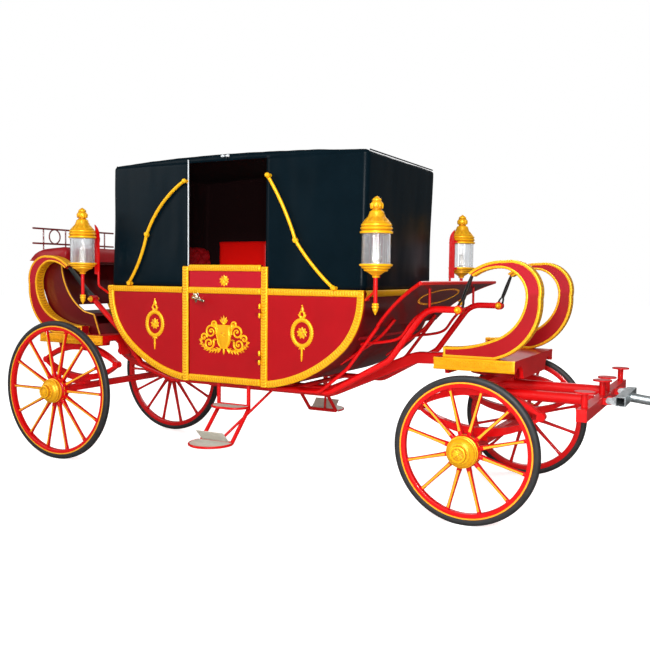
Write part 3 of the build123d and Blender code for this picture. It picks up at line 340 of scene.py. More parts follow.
def rosette(radius, petals=8, height=6.0):
    """Two rings of petals round a beaded eye."""
    small_beads = spun(bead(radius * 0.07, height * 1.9), 6, 0, radius * 0.3)
    return joined([spun(leaf(radius, radius * 0.62, height), petals),
                   spun(leaf(radius * 0.66, radius * 0.44, height * 1.6), petals, 180 / petals),
                   bead(radius * 0.22, height * 2.1), small_beads])


hub_profile = [(28, 41), (98, 41), (100, 43), (100, 49), (97, 51), (93, 52), (92, 55), (92, 66), (94, 68),
               (97, 71), (97, 75), (94, 77), (90, 79), (86, 88), (77, 99), (66, 107), (62, 109), (64, 111),
               (64, 115), (60, 117), (50, 118), (48, 121), (48, 136), (50, 138), (50, 142), (47, 144),
               (41, 144), (39, 141), (0, 141)]
shoulder_z, dome_z, boss_z = 90.0, 116.5, 140.0
petals, faces = rosette(42.0, 9, 6.0)
flower = (petals * np.array([1, 1, 0.5]) + np.array([0, 0, boss_z]), faces)
form = joined([turned(hub_profile), shifted(spun(bead(4.2, 4.0), 30, 0, 81.0), 0, 0, shoulder_z), flower,
               shifted(spun(bead(5.0, 5.0), 14, 0, 55.0), 0, 0, dome_z)])
for end, x, radius, _ in wheels:
    for side_name, side in sides:
        build(f"gilt_hub_{end}_{side_name}", facing(form, side, (x, side * wheel_y, radius)),
              gilt, f"{end}_{side_name}_wheel", [f"hub_{end}_{side_name}"], 50.0)

# Running gear. Forged and welded steel under coach enamel: axles, elliptic springs, the
# swan-neck perch, turntable, draw frame and body irons keep their worked shapes, and take
# the same red as the wheels. The body's side panels are crimson, a shade pinker above the
# belt, and its tub, posts and seat boxes are near-black maroon.
panel_ripple, panel_shine = (60, 0.1, 0.5), (0.4, 1.3, 0.3, 0.04)
panel_crimson = coach_enamel("crimson_panel_enamel", "8C0008", "9E000C", 200, panel_ripple, panel_shine,
                             "A00418")
maroon_enamel = coach_enamel("maroon_panel_enamel", "480206", "640308", 200, panel_ripple, panel_shine)


def dress(finish, *nodes):
    """Gives worked parts their finish, with their shape left as it is."""
    for name in nodes:
        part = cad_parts[name]
        part.data.materials.clear()
        part.data.materials.append(finish)


dress(coach_red, "axle_front", "axle_rear", "springs_front", "springs_rear", "perch", "turntable_lower",
      "turntable_upper", "draw_frame", "body_bearers", "dash_irons", "lamp_carriers", "step_frames")
dress(maroon_enamel, "body_tub", "door_posts", "seat_boxes")
dress(panel_crimson, "quarter_panels", "door_right", "door_left")

# Pole. A galvanised steel tube with its cross tube and cheeks: zinc crystals a few centimetres
# wide, grey and slightly milky, some flakes brighter than the next.
zinc, tree, shader, place = new_finish("galvanised_steel")
flake = add(tree, "ShaderNodeTexVoronoi", {"Vector": place, "Scale": 1 / (18 * mm)})
tone = add(tree, "ShaderNodeRGBToBW", {"Color": flake.outputs["Color"]})
colour = add(tree, "ShaderNodeMix", {0: tone.outputs["Val"], 6: linear("8E979A"), 7: linear("C3CACC")},
             data_type="RGBA")
rough = add(tree, "ShaderNodeMapRange", {"Value": tone.outputs["Val"], "To Min": 0.34, "To Max": 0.55})
feed(tree, shader, {"Base Color": colour.outputs[2], "Metallic": 0.85, "Roughness": rough.outputs["Result"]})
dress(zinc, "pole")

# C springs. Boxed steel crescents: a red side face between two carved gilt bands, and the wide
# inner and outer faces covered by gilded carved leafwork that follows the curve.
spring_low, spring_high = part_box("c_springs")
deck_z = spring_low.z / mm
spring_width = 80.0
spring_outer_y = spring_high.y / mm
spring_edges = ((spring_outer_y, 1), (spring_outer_y - spring_width, -1))


def arc(start, through, stop, step=9.0):
    """Points along the arc of a circle from start past through to stop, a plain list of (x, z)."""
    (ax, ay), (bx, by), (cx, cy) = start, through, stop
    d = 2 * (ax * (by - cy) + bx * (cy - ay) + cx * (ay - by))
    sa, sb, sc = ax * ax + ay * ay, bx * bx + by * by, cx * cx + cy * cy
    ox = (sa * (by - cy) + sb * (cy - ay) + sc * (ay - by)) / d
    oy = (sa * (cx - bx) + sb * (ax - cx) + sc * (bx - ax)) / d
    radius = math.hypot(ax - ox, ay - oy)
    first, mid, last = (math.atan2(y - oy, x - ox) for x, y in (start, through, stop))
    to_mid, to_last = (mid - first) % (2 * math.pi), (last - first) % (2 * math.pi)
    sweep = to_last if to_mid < to_last else to_last - 2 * math.pi
    count = max(3, int(abs(sweep) * radius / step))
    turns = [first + sweep * i / count for i in range(count + 1)]
    return [(ox + radius * math.cos(turn), oy + radius * math.sin(turn)) for turn in turns]


def even(path, step):
    """A run of points, spaced evenly along its length."""
    path = np.array(path, float)
    lengths = np.r_[0, np.cumsum(np.linalg.norm(np.diff(path, axis=0), axis=1))]
    count = max(2, int(lengths[-1] / step))
    at = np.linspace(0, lengths[-1], count + 1)
    return np.stack([np.interp(at, lengths, path[:, i]) for i in range(path.shape[1])], axis=-1), at


def flow_of(path):
    """The direction of a path at each of its points."""
    flow = np.gradient(path, axis=0)
    return flow / np.linalg.norm(flow, axis=1)[:, None]


def carved(path, inward, out, width, rise, pitch=34.0, carve=4.0, columns=13, ends=True):
    """A carved moulding: path is its outer edge, inward points across it and out off its seat."""
    path = np.asarray(path, float)
    inward, out = (np.broadcast_to(part, path.shape) for part in (inward, out))
    run = np.r_[0, np.cumsum(np.linalg.norm(np.diff(path, axis=0), axis=1))][:, None]
    across = np.linspace(-1, 1, columns)[None, :]
    round_top = np.sqrt(np.clip(1 - across ** 2, 0, 1)) ** 0.7
    leafwork = np.cos(2 * math.pi * (run / pitch - 0.55 * np.abs(across)))
    band = np.clip(1 - (np.abs(across) / 0.8) ** 6, 0, 1)
    height = rise * (0.45 + 0.5 * round_top) + carve * leafwork * band - carve * 0.5
    height = height * np.where(np.abs(across) > 0.99, 0.55, 1.0)
    if ends:
        height[0, :] = height[-1, :] = 0.0
    place_across = (across + 1) / 2 * width
    edge = path[:, None, :]
    points = edge + inward[:, None, :] * place_across[..., None] + out[:, None, :] * height[..., None]
    return sheet_of(np.concatenate([edge, points, edge + inward[:, None, :] * width], axis=1))


def bar(path, radius, count=12, taper=None):
    """A round bar along points, its ends closed; taper gives each point its share of the radius."""
    path = np.asarray(path, float)
    run = flow_of(path)
    guide = np.array([0.0, 0.0, 1.0]) if abs(run[0][2]) < 0.8 else np.array([1.0, 0.0, 0.0])
    side = np.cross(run[0], guide)
    turn = np.linspace(0, 2 * math.pi, count + 1)
    rows = []
    share = np.ones(len(path)) if taper is None else np.asarray(taper, float)
    for i, point in enumerate(path):
        side = side - run[i] * np.dot(side, run[i])
        side /= np.linalg.norm(side)
        other = np.cross(run[i], side)
        ring = point + radius * share[i] * (np.cos(turn)[:, None] * side + np.sin(turn)[:, None] * other)
        rows.append(ring)
    rows.insert(0, np.repeat(path[:1], count + 1, axis=0))
    rows.append(np.repeat(path[-1:], count + 1, axis=0))
    return sheet_of(np.array(rows))


spring_table = (
    # foot x, side, reach, height
    (half_wheelbase - 240.0, 1, 645.0, 638.0),
    (50.0 - half_wheelbase, -1, 652.0, 672.0),
)
edge_band = (4.0, 17.0, 1.4, 9)  # rise, pitch, carving and columns of the bands along the edges
face_band = (3.0, 26.0, 2.2, 13)
leaf_forms = []
for foot_x, side, reach, height in spring_table:
    def at(run, rise):
        return (foot_x + side * run * reach / 645.0, deck_z + rise * height / 638.0)
    outer = [at(0, 0)] + arc(at(340, 0), at(573, 168), at(628, 395))
    outer += arc(at(628, 395), at(560, 590), at(395, 636)) + arc(at(395, 636), at(272, 618), at(160, 556))
    inner = arc(at(0, 68), at(190, 84), at(330, 128)) + arc(at(330, 128), at(470, 228), at(533, 385))
    inner += arc(at(533, 385), at(490, 528), at(392, 586)) + arc(at(392, 586), at(288, 578), at(192, 532))
    for path, way, band_width in ((even(outer, 7.0)[0], 1, 17.0), (even(inner, 7.0)[0], -1, 15.0)):
        flat = np.stack([path[:, 0], 0 * path[:, 0], path[:, 1]], axis=-1)
        run = flow_of(path)
        normal = np.stack([run[:, 1], 0 * run[:, 0], -run[:, 0]], axis=-1) * side * way
        for y_sign in (-1, 1):
            for y_edge, y_way in spring_edges:
                line = flat + np.array([0, y_sign * y_edge, 0])
                seat = (0, y_sign * y_way, 0)
                leaf_forms.append(carved(line, -normal, seat, band_width, *edge_band, False))
            face = flat + np.array([0, y_sign * spring_outer_y, 0])
            leaf_forms.append(carved(face, (0, -y_sign, 0), normal, spring_width, *face_band, False))
    foot, _ = even([(foot_x, 0.0, deck_z + 2), (foot_x, 0.0, deck_z + 66.0 * height / 638.0)], 5.0)
    for y_sign in (-1, 1):
        for y_edge, y_way in spring_edges:
            foot[:, 1] = y_sign * y_edge
            leaf_forms.append(carved(foot, (side, 0, 0), (0, y_sign * y_way, 0), 15.0, *edge_band))
dress(panel_crimson, "c_springs")
build("c_spring_leafwork", joined(leaf_forms), gilt, "root")

# Braces. Black harness leather, two straps laid together, hung from a buckle at the tip of
# each C spring and stitched round the eye of the body iron, where a gilt ball covers the pin.
# Harness leather: waxed black, close grain, a little paler in random patches.
harness, tree, shader, place = new_finish("waxed_harness_leather")
grain = add(tree, "ShaderNodeTexVoronoi", {"Vector": place, "Scale": 1 / (4 * mm)})
_, colour = mottled(tree, place, 40, 5.0, "121314", "2E2D2C")
bump = add(tree, "ShaderNodeBump", {"Height": grain.outputs["Distance"], "Strength": 0.3,
                                    "Distance": 0.5 * mm})
feed(tree, shader, {"Base Color": colour, "Roughness": 0.42, "Normal": bump.outputs["Normal"]})
brace_eyes = ((1612.0, 1336.0), (-1616.0, 1330.0))
brace_y, strap_half_width, strap_half_thick, ball_from_brace = 470.0, 21.0, 3.4, 30.0
ball = [(0, 0), (20, 0), (23, 3), (22, 8), (17, 14), (14, 16), (15, 20), (13, 26), (7, 30), (0, 31)]
strap_forms, ball_forms = [], []
for (foot_x, side, reach, height), eye in zip(spring_table, brace_eyes):
    tip = (foot_x + side * 176.0 * reach / 645.0, deck_z + 544.0 * height / 638.0)
    along = np.array([tip[0] - eye[0], 0, tip[1] - eye[1]])
    length = np.linalg.norm(along)
    along /= length
    across = np.array([along[2], 0, -along[0]])
    for y_sign in (-1, 1):
        for offset in (-21.0, 21.0):
            rows = []
            for share in np.linspace(0, 1, 24):
                loop = 24.0 * max(0.0, 1 - share * 5) ** 0.5 * math.copysign(1, offset)
                middle = np.array([eye[0], 0, eye[1]]) + along * (18 + share * (length - 22))
                bow = offset * 0.32 * (0.35 + 0.65 * math.sin(math.pi * share))
                middle = middle + across * (bow + loop * 0.6)
                row = []
                for a in np.linspace(0, 2 * math.pi, 17):
                    flat = np.sign(math.cos(a)) * abs(math.cos(a)) ** 0.4 * strap_half_width
                    thick = np.sign(math.sin(a)) * abs(math.sin(a)) ** 0.6 * strap_half_thick
                    row.append(middle + across * thick + np.array([0, y_sign * brace_y + flat, 0]))
                rows.append(row)
            strap_forms.append(sheet_of(np.array(rows)))
        for way in (1, -1):
            ball_at = (eye[0], y_sign * (brace_y + way * ball_from_brace), eye[1])
            ball_forms.append(facing(turned(ball, 32), y_sign * way, ball_at))
build("brace_straps", joined(strap_forms), harness, "root", ["braces"])
build("brace_eye_balls", joined(ball_forms), gilt, "root")

# Body mouldings. Carved lime wood, gessoed and gilded, pinned along every edge of the body:
# the belt, the curved rim, the post strips, and the three rails of each door. The hinge
# knuckles sit on the front posts.
panel_low, panel_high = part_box("quarter_panels")
body_middle = (panel_low.x + panel_high.x) / 2 / mm - middle_x / mm
body_half_length = (panel_high.x - panel_low.x) / 2 / mm
body_half_width = panel_high.y / mm
bottom_z, belt_z = panel_low.z / mm, panel_high.z / mm
post_low, post_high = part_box("door_posts")
post_width = 54.0
rear_post_x = post_low.x / mm - middle_x / mm
front_post_x = post_high.x / mm - middle_x / mm
door_rear_x, door_front_x = rear_post_x + post_width, front_post_x - post_width
post_top_z = post_high.z / mm
moulding_proud, moulding_pitch, moulding_carve = 18.0, 21.0, 1.9
flat_half = 0.342 * body_half_length
curve_end_drop = 54.0
first_deg, change_deg = 8.0, 42.0


def belly(side, step=4.0):
    """The curved rim from the flat bottom to the belt: points and their inward directions."""
    run, rise = body_half_length - flat_half, belt_z - curve_end_drop - bottom_z
    s0, c0 = math.sin(math.radians(first_deg)), math.cos(math.radians(first_deg))
    s1, c1 = math.sin(math.radians(change_deg)), math.cos(math.radians(change_deg))
    fixed = (s1 - s0) * c1 - (1 - s1) * (c0 - c1)
    r1 = (run * c1 - (1 - s1) * rise) / fixed
    r2 = ((s1 - s0) * rise - (c0 - c1) * run) / fixed
    centre1 = (flat_half - r1 * s0, bottom_z + r1 * c0)
    centre2 = (centre1[0] + (r1 - r2) * s1, centre1[1] - (r1 - r2) * c1)
    points = []
    for centre, radius, low, high in ((centre1, r1, first_deg, change_deg), (centre2, r2, change_deg, 90.0)):
        count = max(4, int(radius * math.radians(high - low) / step))
        for angle in np.radians(np.linspace(low, high, count)):
            points.append((centre[0] + radius * math.sin(angle), centre[1] - radius * math.cos(angle)))
    points.append((body_half_length, belt_z))
    points, _ = even(points, step)
    flow = flow_of(points)
    inward = np.stack([-flow[:, 1] * side, 0 * flow[:, 0], flow[:, 0]], axis=-1)
    return np.stack([body_middle + side * points[:, 0], 0 * points[:, 0], points[:, 1]], axis=-1), inward


def straight(start, stop, inward, out, width, ends=False):
    """A straight length of the body's carved moulding."""
    path, _ = even([start, stop], 4.0)
    return carved(path, inward, out, width, moulding_proud, moulding_pitch, moulding_carve, 13, ends)


rim_width, belt_width = 52.0, 47.0
forms = []
near = np.array([0.0, -1.0, 0.0])
seat_y = -body_half_width
for side, post_x in ((-1, rear_post_x), (1, front_post_x)):
    path, inward = belly(side)
    flat_end = body_middle + side * flat_half
    lead, _ = even([(post_x, 0.0, bottom_z), (flat_end, 0.0, bottom_z)], 4.0)
    path = np.concatenate([lead[:-1], path])
    inward = np.concatenate([np.repeat([[0.0, 0.0, 1.0]], len(lead) - 1, 0), inward])
    path[:, 1] = seat_y
    forms.append(carved(path, inward, near, rim_width, moulding_proud, moulding_pitch, moulding_carve, 13,
                        False))
    end_x = body_middle + side * body_half_length
    forms.append(straight((post_x, seat_y, belt_z - belt_width), (end_x, seat_y, belt_z - belt_width),
                          (0, 0, 1), near, belt_width))
    strip_x = rear_post_x if side < 0 else door_front_x
    forms.append(straight((strip_x, seat_y, bottom_z), (strip_x, seat_y, post_top_z), (1, 0, 0), near,
                          post_width, True))
forms += [far_side(form) for form in forms]
for side in (-1, 1):
    end_x = body_middle + side * body_half_length
    low_belt = belt_z - belt_width
    forms.append(straight((end_x, -body_half_width, low_belt), (end_x, body_half_width, low_belt), (0, 0, 1),
                          (side, 0, 0), belt_width))
hinge_y = body_half_width + moulding_proud + 8.3
knuckles = []
for z in (950.0, 1290.0):
    for low, high in ((-45.0, -15.2), (15.2, 45.0)):
        form = turned([(0, low), (6.5, low), (8, low + 1.5), (8, high - 1.5), (6.5, high), (0, high)], 24)
        knuckles.append(placed(form, (1, 0, 0), (0, -1, 0), (0, 0, 1), (door_front_x, -hinge_y, z)))
    for height in (-50.0, 50.0):
        form = placed(bead(6.5, 8.0), (1, 0, 0), (0, -1, 0), (0, 0, math.copysign(1, height)),
                      (door_front_x, -hinge_y, z + height * 0.9))
        knuckles.append(form)
knuckles += [far_side(form) for form in knuckles]
build("gilt_body_mouldings", joined(forms + knuckles), gilt, "root", ["body_mouldings"], 60.0)
for side_name, side in sides:
    low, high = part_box(f"door_{side_name}_rails")
    left, right = low.x / mm - middle_x / mm, high.x / mm - middle_x / mm
    out = (0, side, 0)
    forms = []
    for z_low, z_high in ((low.z / mm, bottom_z + 55.0), (belt_z - belt_width, belt_z),
                          (high.z / mm - belt_width, high.z / mm)):
        forms.append(straight((left, side * body_half_width, z_low), (right, side * body_half_width, z_low),
                              (0, 0, 1), out, z_high - z_low, True))
    build(f"gilt_door_rails_{side_name}", joined(forms), gilt, f"{side_name}_door",
          [f"door_{side_name}_rails"], 60.0)


# Ornaments on the panels. Cast brass, gilded, pinned to the enamel: an oval wreath with a
# rosette in it on each quarter panel, a rosette on the upper door panel, and a shield with
# scrolls and palm leaves on the lower one.
def ring_of(radius_u, radius_v, thick, rise, count=72):
    """An oval ring of half-round section with a twisted surface."""
    turn = np.linspace(0, 2 * math.pi, count * 2 + 1)
    path = np.stack([radius_u * np.cos(turn), radius_v * np.sin(turn), 0 * turn], axis=-1)
    rows = []
    for i, point in enumerate(path):
        normal = np.array([math.cos(turn[i]) / radius_u, math.sin(turn[i]) / radius_v, 0])
        normal /= np.linalg.norm(normal)
        row = []
        for a in np.linspace(0, math.pi, 11):
            twist = 1 + 0.10 * math.cos(turn[i] * count / 2 + 2.2 * a)
            row.append(point + normal * thick * math.cos(a) * twist
                       + np.array([0, 0, rise * math.sin(a) * twist]))
        rows.append(row)
    return sheet_of(np.array(rows))


def scroll(turns, radius, thick, rise, start_deg=0.0, hand=1):
    """A flat spiral of half-round section that tapers into its eye, which ends in a bead."""
    angle = np.linspace(0, turns * 2 * math.pi, int(turns * 36))
    reach = radius * (1 - angle / angle[-1]) ** 0.75 + radius * 0.12
    way = angle * hand + math.radians(start_deg)
    path = np.stack([reach * np.cos(way), reach * np.sin(way)], axis=-1)
    return ribbon(path, thick * (0.35 + 0.65 * np.sin(np.linspace(0.5, 1, len(path)) * math.pi) ** 0.5), rise)


def ribbon(path, half_width, rise, columns=9):
    """A band of rounded section along a flat path."""
    path = np.asarray(path, float)
    half_width = np.broadcast_to(half_width, (len(path),))
    run = flow_of(path)
    normal = np.stack([-run[:, 1], run[:, 0]], axis=-1)
    rows = []
    for i, point in enumerate(path):
        row = []
        for a in np.linspace(0, math.pi, columns):
            flat = point + normal[i] * half_width[i] * math.cos(a)
            row.append((flat[0], flat[1], rise * math.sin(a) * min(1.0, half_width[i] / 4 + 0.4)))
        rows.append(row)
    return sheet_of(np.array(rows))


def wreath():
    """The quarter panel's ornament: oval ring, rosette, knot and point above, tassel below."""
    parts = [ring_of(78, 92, 15, 11), rosette(44, 9, 6)]
    parts.append(shifted(ring_of(19, 24, 7, 9, 24), 0, 128))
    parts.append(shifted(leaf(50, 30, 9), 0, 140))
    parts += [shifted(leaf(44, 20, 7), 0, 104, 1, turn) for turn in (-52, 52)]
    parts.append(shifted(bead(7, 7), 0, 192))
    drop = [(-9, -92), (-11, -100), (-7, -112), (-6, -150), (-9, -156), (-5, -162), (-6, -172),
            (-2, -196), (0, -202)]
    path = np.array([(0, v) for _, v in drop], float)
    parts.append(ribbon(path, np.array([-u for u, _ in drop], float) + 1.5, 9.0))
    parts += [shifted(leaf(34, 15, 6), 0, -96, 2, turn) for turn in (-130, 130)]
    return joined(parts)


def shield_half(share):
    """Half the shield's width, at a share of the way from its waisted top to its point."""
    if share < 0.45:
        return 62 * (1.0 - 0.12 * math.sin(math.pi * min(1, share * 2.2)))
    return 58 * math.sqrt(max(0.0, 1 - ((share - 0.45) / 0.55) ** 2.2))


def shield_and_palms():
    """The door's ornament: a domed shield under a palmette, set between scrolls and palm leaves."""
    parts = []
    rows = []
    for share in np.linspace(0, 1, 25):
        row = []
        for across in np.linspace(-1, 1, 17):
            rise = 5 + 11 * (1 - across ** 2) ** 0.6 * math.sin(math.pi * (0.12 + 0.76 * share)) ** 0.5
            row.append((shield_half(share) * across, 75 - 170 * share, rise if abs(across) < 0.999 else 0))
        rows.append(row)
    parts.append(sheet_of(np.array(rows)))
    edge = [(shield_half(share), 75 - 170 * share) for share in np.linspace(0, 1, 30)]
    rim = edge + [(-u, v) for u, v in reversed(edge[:-1])] + [edge[0]]
    parts.append(ribbon(even(rim, 5.0)[0], 5.5, 12.0))
    for turn, length in ((0, 62), (28, 56), (-28, 56), (54, 46), (-54, 46)):
        parts.append(shifted(leaf(length, 22, 10), 0, 92, 3, turn))
    parts.append(shifted(bead(14, 16), 0, 92))
    parts.append(shifted(rosette(24, 8, 5), 0, 8, 15))
    for hand in (-1, 1):
        for turns, radius, u, v, start, way in ((1.6, 46, 118, 26, 200, -1), (1.5, 40, 134, -62, 150, 1),
                                                (1.2, 26, 182, -18, 180, -1), (1.3, 22, 92, 84, 230, -1)):
            part = scroll(turns, radius, 8.0, 10.0, start, way)
            part = shifted(part, u, v)
            parts.append((part[0] * np.array([hand, 1, 1]), part[1]))
            parts.append(shifted(bead(radius * 0.2, 10), hand * u, v))
        palm = [(20, -92), (70, -112), (120, -116), (170, -100), (206, -66), (216, -30)]
        stem, _ = even(palm, 6.0)
        part = ribbon(stem * np.array([hand, 1]), np.linspace(7, 3, len(stem)), 9.0)
        parts.append(part)
        for i in range(4, len(stem) - 2, 4):
            run = stem[i + 1] - stem[i - 1]
            heading = math.degrees(math.atan2(-run[0] * hand, run[1]))
            for lean in (-38, 38):
                parts.append(shifted(leaf(34 - 0.18 * i, 12, 6), stem[i][0] * hand, stem[i][1], 2,
                                     heading + lean))
        parts.append(shifted(leaf(44, 18, 7), hand * 60, 50, 3, -hand * 62))
        parts.append(shifted(leaf(38, 16, 7), hand * 66, -30, 3, -hand * 100))
        parts.append(shifted(leaf(42, 16, 7), hand * 30, -96, 3, -hand * 150))
    parts.append(shifted(leaf(52, 20, 8), 0, -92, 3, 180))
    return joined(parts)


def on_panel(form, x, z):
    """A form laid on the right side of the body; u runs forward and v runs up."""
    return facing(form, -1, (x, -body_half_width, z))


wreath_places = ((520.0, 1145.0), (-808.0, 1160.0))
door_rosette_z, door_shield_z = 1504.0, 1095.0
wreaths = [on_panel(wreath(), x, z) for x, z in wreath_places]
build("panel_wreaths", both(wreaths), gilt, "root", (), 60.0)
door_middle = (door_rear_x + door_front_x) / 2
form = joined([on_panel(rosette(44, 10, 7), door_middle, door_rosette_z),
               on_panel(shield_and_palms(), door_middle, door_shield_z)])
build("door_ornaments_right", form, gilt, "right_door", (), 60.0)
build("door_ornaments_left", far_side(form), gilt, "left_door", (), 60.0)

# Door handles. Cast and silver-plated, a fluted lever on a leaf-shaped rose.
# Silver plate: near-white metal, polished, with soft tarnish mottled over it.
silver, tree, shader, place = new_finish("silver_plate")
tarnish, colour = mottled(tree, place, 12, 5.0, "B9A98C", "F4EEDF")
rough = add(tree, "ShaderNodeMapRange", {"Value": tarnish, "To Min": 0.3, "To Max": 0.15})
feed(tree, shader, {"Base Color": colour, "Metallic": 1.0, "Roughness": rough.outputs["Result"]})
handle_x, handle_z = door_rear_x + 68.0, 1378.0
lever = bar([(0, 0, 0), (0, 0, 38), (6, -1, 47), (18, -4, 52), (50, -12, 53), (84, -20, 51), (104, -25, 50),
             (118, -29, 49)], 11.0, 14, [1.3, 0.9, 0.9, 0.95, 0.75, 0.85, 1.15, 0.7])
plate = joined([spun(leaf(46, 30, 8), 5, 36), bead(20, 12, 6, 24)])
for side_name, side in sides:
    form = on_panel(joined([lever, plate]), handle_x, handle_z)
    build(f"silver_handle_{side_name}", form if side < 0 else far_side(form), silver, f"{side_name}_door",
          [f"door_{side_name}_handle"])

# Hood. Black waxed cowhide strained over hoops in two halves that meet above the doors, each
# one sheet round the back or front, over the roof and down both sides, lined with dark cloth.
# Hood leather: blue-black, softly shiny, pebbled, with long shallow strain folds.
hood_leather, tree, shader, place = new_finish("strained_hood_leather")
pebble = add(tree, "ShaderNodeTexVoronoi", {"Vector": place, "Scale": 1 / (6 * mm)})
cloud, colour = mottled(tree, place, 260, 5.0, "020C12", "04141C")
rough = add(tree, "ShaderNodeMapRange", {"Value": cloud, "To Min": 0.26, "To Max": 0.4})
bump = add(tree, "ShaderNodeBump", {"Height": pebble.outputs["Distance"], "Strength": 0.16,
                                    "Distance": 0.5 * mm})
feed(tree, shader, {"Base Color": colour, "Roughness": rough.outputs["Result"], "IOR": 1.18,
                    "Normal": bump.outputs["Normal"]})
# Lining cloth: dark crimson wool, matt with a little sheen, twill lines a few millimetres apart.
lining, tree, shader, place = new_finish("crimson_lining_cloth")
twill = add(tree, "ShaderNodeTexWave", {"Vector": place, "Scale": 1 / (9 * mm), "Distortion": 1.5})
colour = add(tree, "ShaderNodeMix", {0: twill.outputs["Fac"], 6: linear("140102"), 7: linear("1E0203")},
             data_type="RGBA")
bump = add(tree, "ShaderNodeBump", {"Height": twill.outputs["Fac"], "Strength": 0.2, "Distance": 0.5 * mm})
feed(tree, shader, {"Base Color": colour.outputs[2], "Roughness": 0.9, "IOR": 1.3,
                    "Normal": bump.outputs["Normal"]})

_, hood_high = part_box("hood_rear")
hood_half_width = hood_high.y / mm
hood_edge_z, hood_middle_z = hood_high.z / mm - 39.0, hood_high.z / mm
header_z = hood_middle_z - 50.0
hood_ends = {
    # side: reach of the foot and of the roof's edge from the body's middle
    -1: (body_half_length - 15.0, body_half_length - 39.0),
    1: (body_half_length - 4.0, body_half_length + 13.0),
}
door_edges = {-1: door_rear_x - 9.0, 1: door_front_x + 27.0}
corner_r, roof_r = 42.0, 30.0


def lines_between(stops, step):
    """Grid lines that hit every stop, no further apart than step."""
    made = [stops[0]]
    for low, high in zip(stops[:-1], stops[1:]):
        count = max(1, int(math.ceil((high - low) / step)))
        made += [low + (high - low) * (i + 1) / count for i in range(count)]
    return np.array(made)


def strain(x, y, z, side):
    """How far the leather lies off its hoops: a shallow sag between them, and folds that fan
    from the corners."""
    drop = (hood_edge_z - z) / (hood_edge_z - belt_z)
    fold = noise.noise(Vector((x / 210.0, y / 210.0, z / 620.0 + side * 3)))
    fine = noise.noise(Vector((x / 70.0, y / 70.0, z / 260.0 + side * 7)))
    return 7.0 * fold * (0.4 + 0.8 * drop) + 1.8 * fine - 5.0 * math.sin(math.pi * min(max(drop, 0), 1)) ** 2


for side, half_name in ((-1, "rear"), (1, "front")):
    end_x, top_reach = hood_ends[side]
    door_reach = abs(door_edges[side] - body_middle)
    width = hood_half_width - 4.0
    run = lines_between([0.0, door_reach, end_x - corner_r, end_x], 26.0)
    run = np.unique(np.r_[run, np.linspace(end_x - corner_r, end_x, 7)])
    rise = lines_between([belt_z + 0.5, header_z, hood_edge_z - roof_r, hood_edge_z], 34.0)
    rise = np.unique(np.r_[rise, np.linspace(hood_edge_z - roof_r, hood_edge_z, 6)])
    cross = lines_between([-width, -width + corner_r, width - corner_r, width], 34.0)
    corners = [np.linspace(-width, -width + corner_r, 7), np.linspace(width - corner_r, width, 7)]
    cross = np.unique(np.r_[cross, corners[0], corners[1]])
    forms = []
    for y in (-width, width):
        grid = np.array([[(u, y, z) for z in rise] for u in run])
        points, faces = sheet_of(grid)
        middles = [np.mean(points[f], axis=0) for f in faces]
        faces = [f for f, at in zip(faces, middles) if at[0] > door_reach or at[2] > header_z]
        forms.append((points, faces))
    forms.append(sheet_of(np.array([[(end_x, y, z) for z in rise] for y in cross])))
    forms.append(sheet_of(np.array([[(u, y, hood_edge_z) for y in cross] for u in run])))
    points, faces = joined(forms)
    shaped = []
    for u, y, z in points:
        inner = np.array([min(u, end_x - corner_r), np.clip(y, -width + corner_r, width - corner_r),
                          min(z, hood_edge_z - roof_r)])
        away = np.array([u, y, z]) - inner
        flat = math.hypot(away[0], away[1])
        if flat > 1e-6 and away[2] > 1e-6:
            scaled = np.array([away[0] / corner_r, away[1] / corner_r, away[2] / roof_r])
            scaled /= max(np.linalg.norm(scaled), 1e-9)
            normal = scaled
            place_at = inner + scaled * np.array([corner_r, corner_r, roof_r])
        elif flat > 1e-6:
            normal = np.array([away[0], away[1], 0]) / flat
            place_at = inner + normal * corner_r
        else:
            normal = np.array([0, 0, 1.0])
            place_at = np.array([u, y, hood_edge_z])
        sag = strain(side * u, y, z, side)
        edge_hold = min(1.0, (z - belt_z) / 60.0) * min(1.0, abs(u - door_reach) / 50.0 + 0.15)
        place_at = place_at + normal * sag * edge_hold * min(1.0, u / 40.0 + 0.1)
        crown = (hood_middle_z - hood_edge_z) * (1 - (min(u, end_x) / end_x) ** 2)
        crown *= max(0.0, (z - header_z) / (hood_edge_z - header_z))
        lean = (end_x - top_reach) * (z - belt_z) / (hood_edge_z - belt_z) * (u / end_x)
        shaped.append((body_middle + side * (place_at[0] - lean), place_at[1], place_at[2] + crown))
    hood = build(f"leather_hood_{half_name}", (np.array(shaped), faces), hood_leather, "root",
                 [f"hood_{half_name}"], 70.0)
    hood.data.materials.append(lining)
    thick = hood.modifiers.new("hide_and_lining", "SOLIDIFY")
    thick.thickness = 9.0 * mm
    thick.offset = -1.0
    thick.material_offset = 1
    thick.material_offset_rim = 0

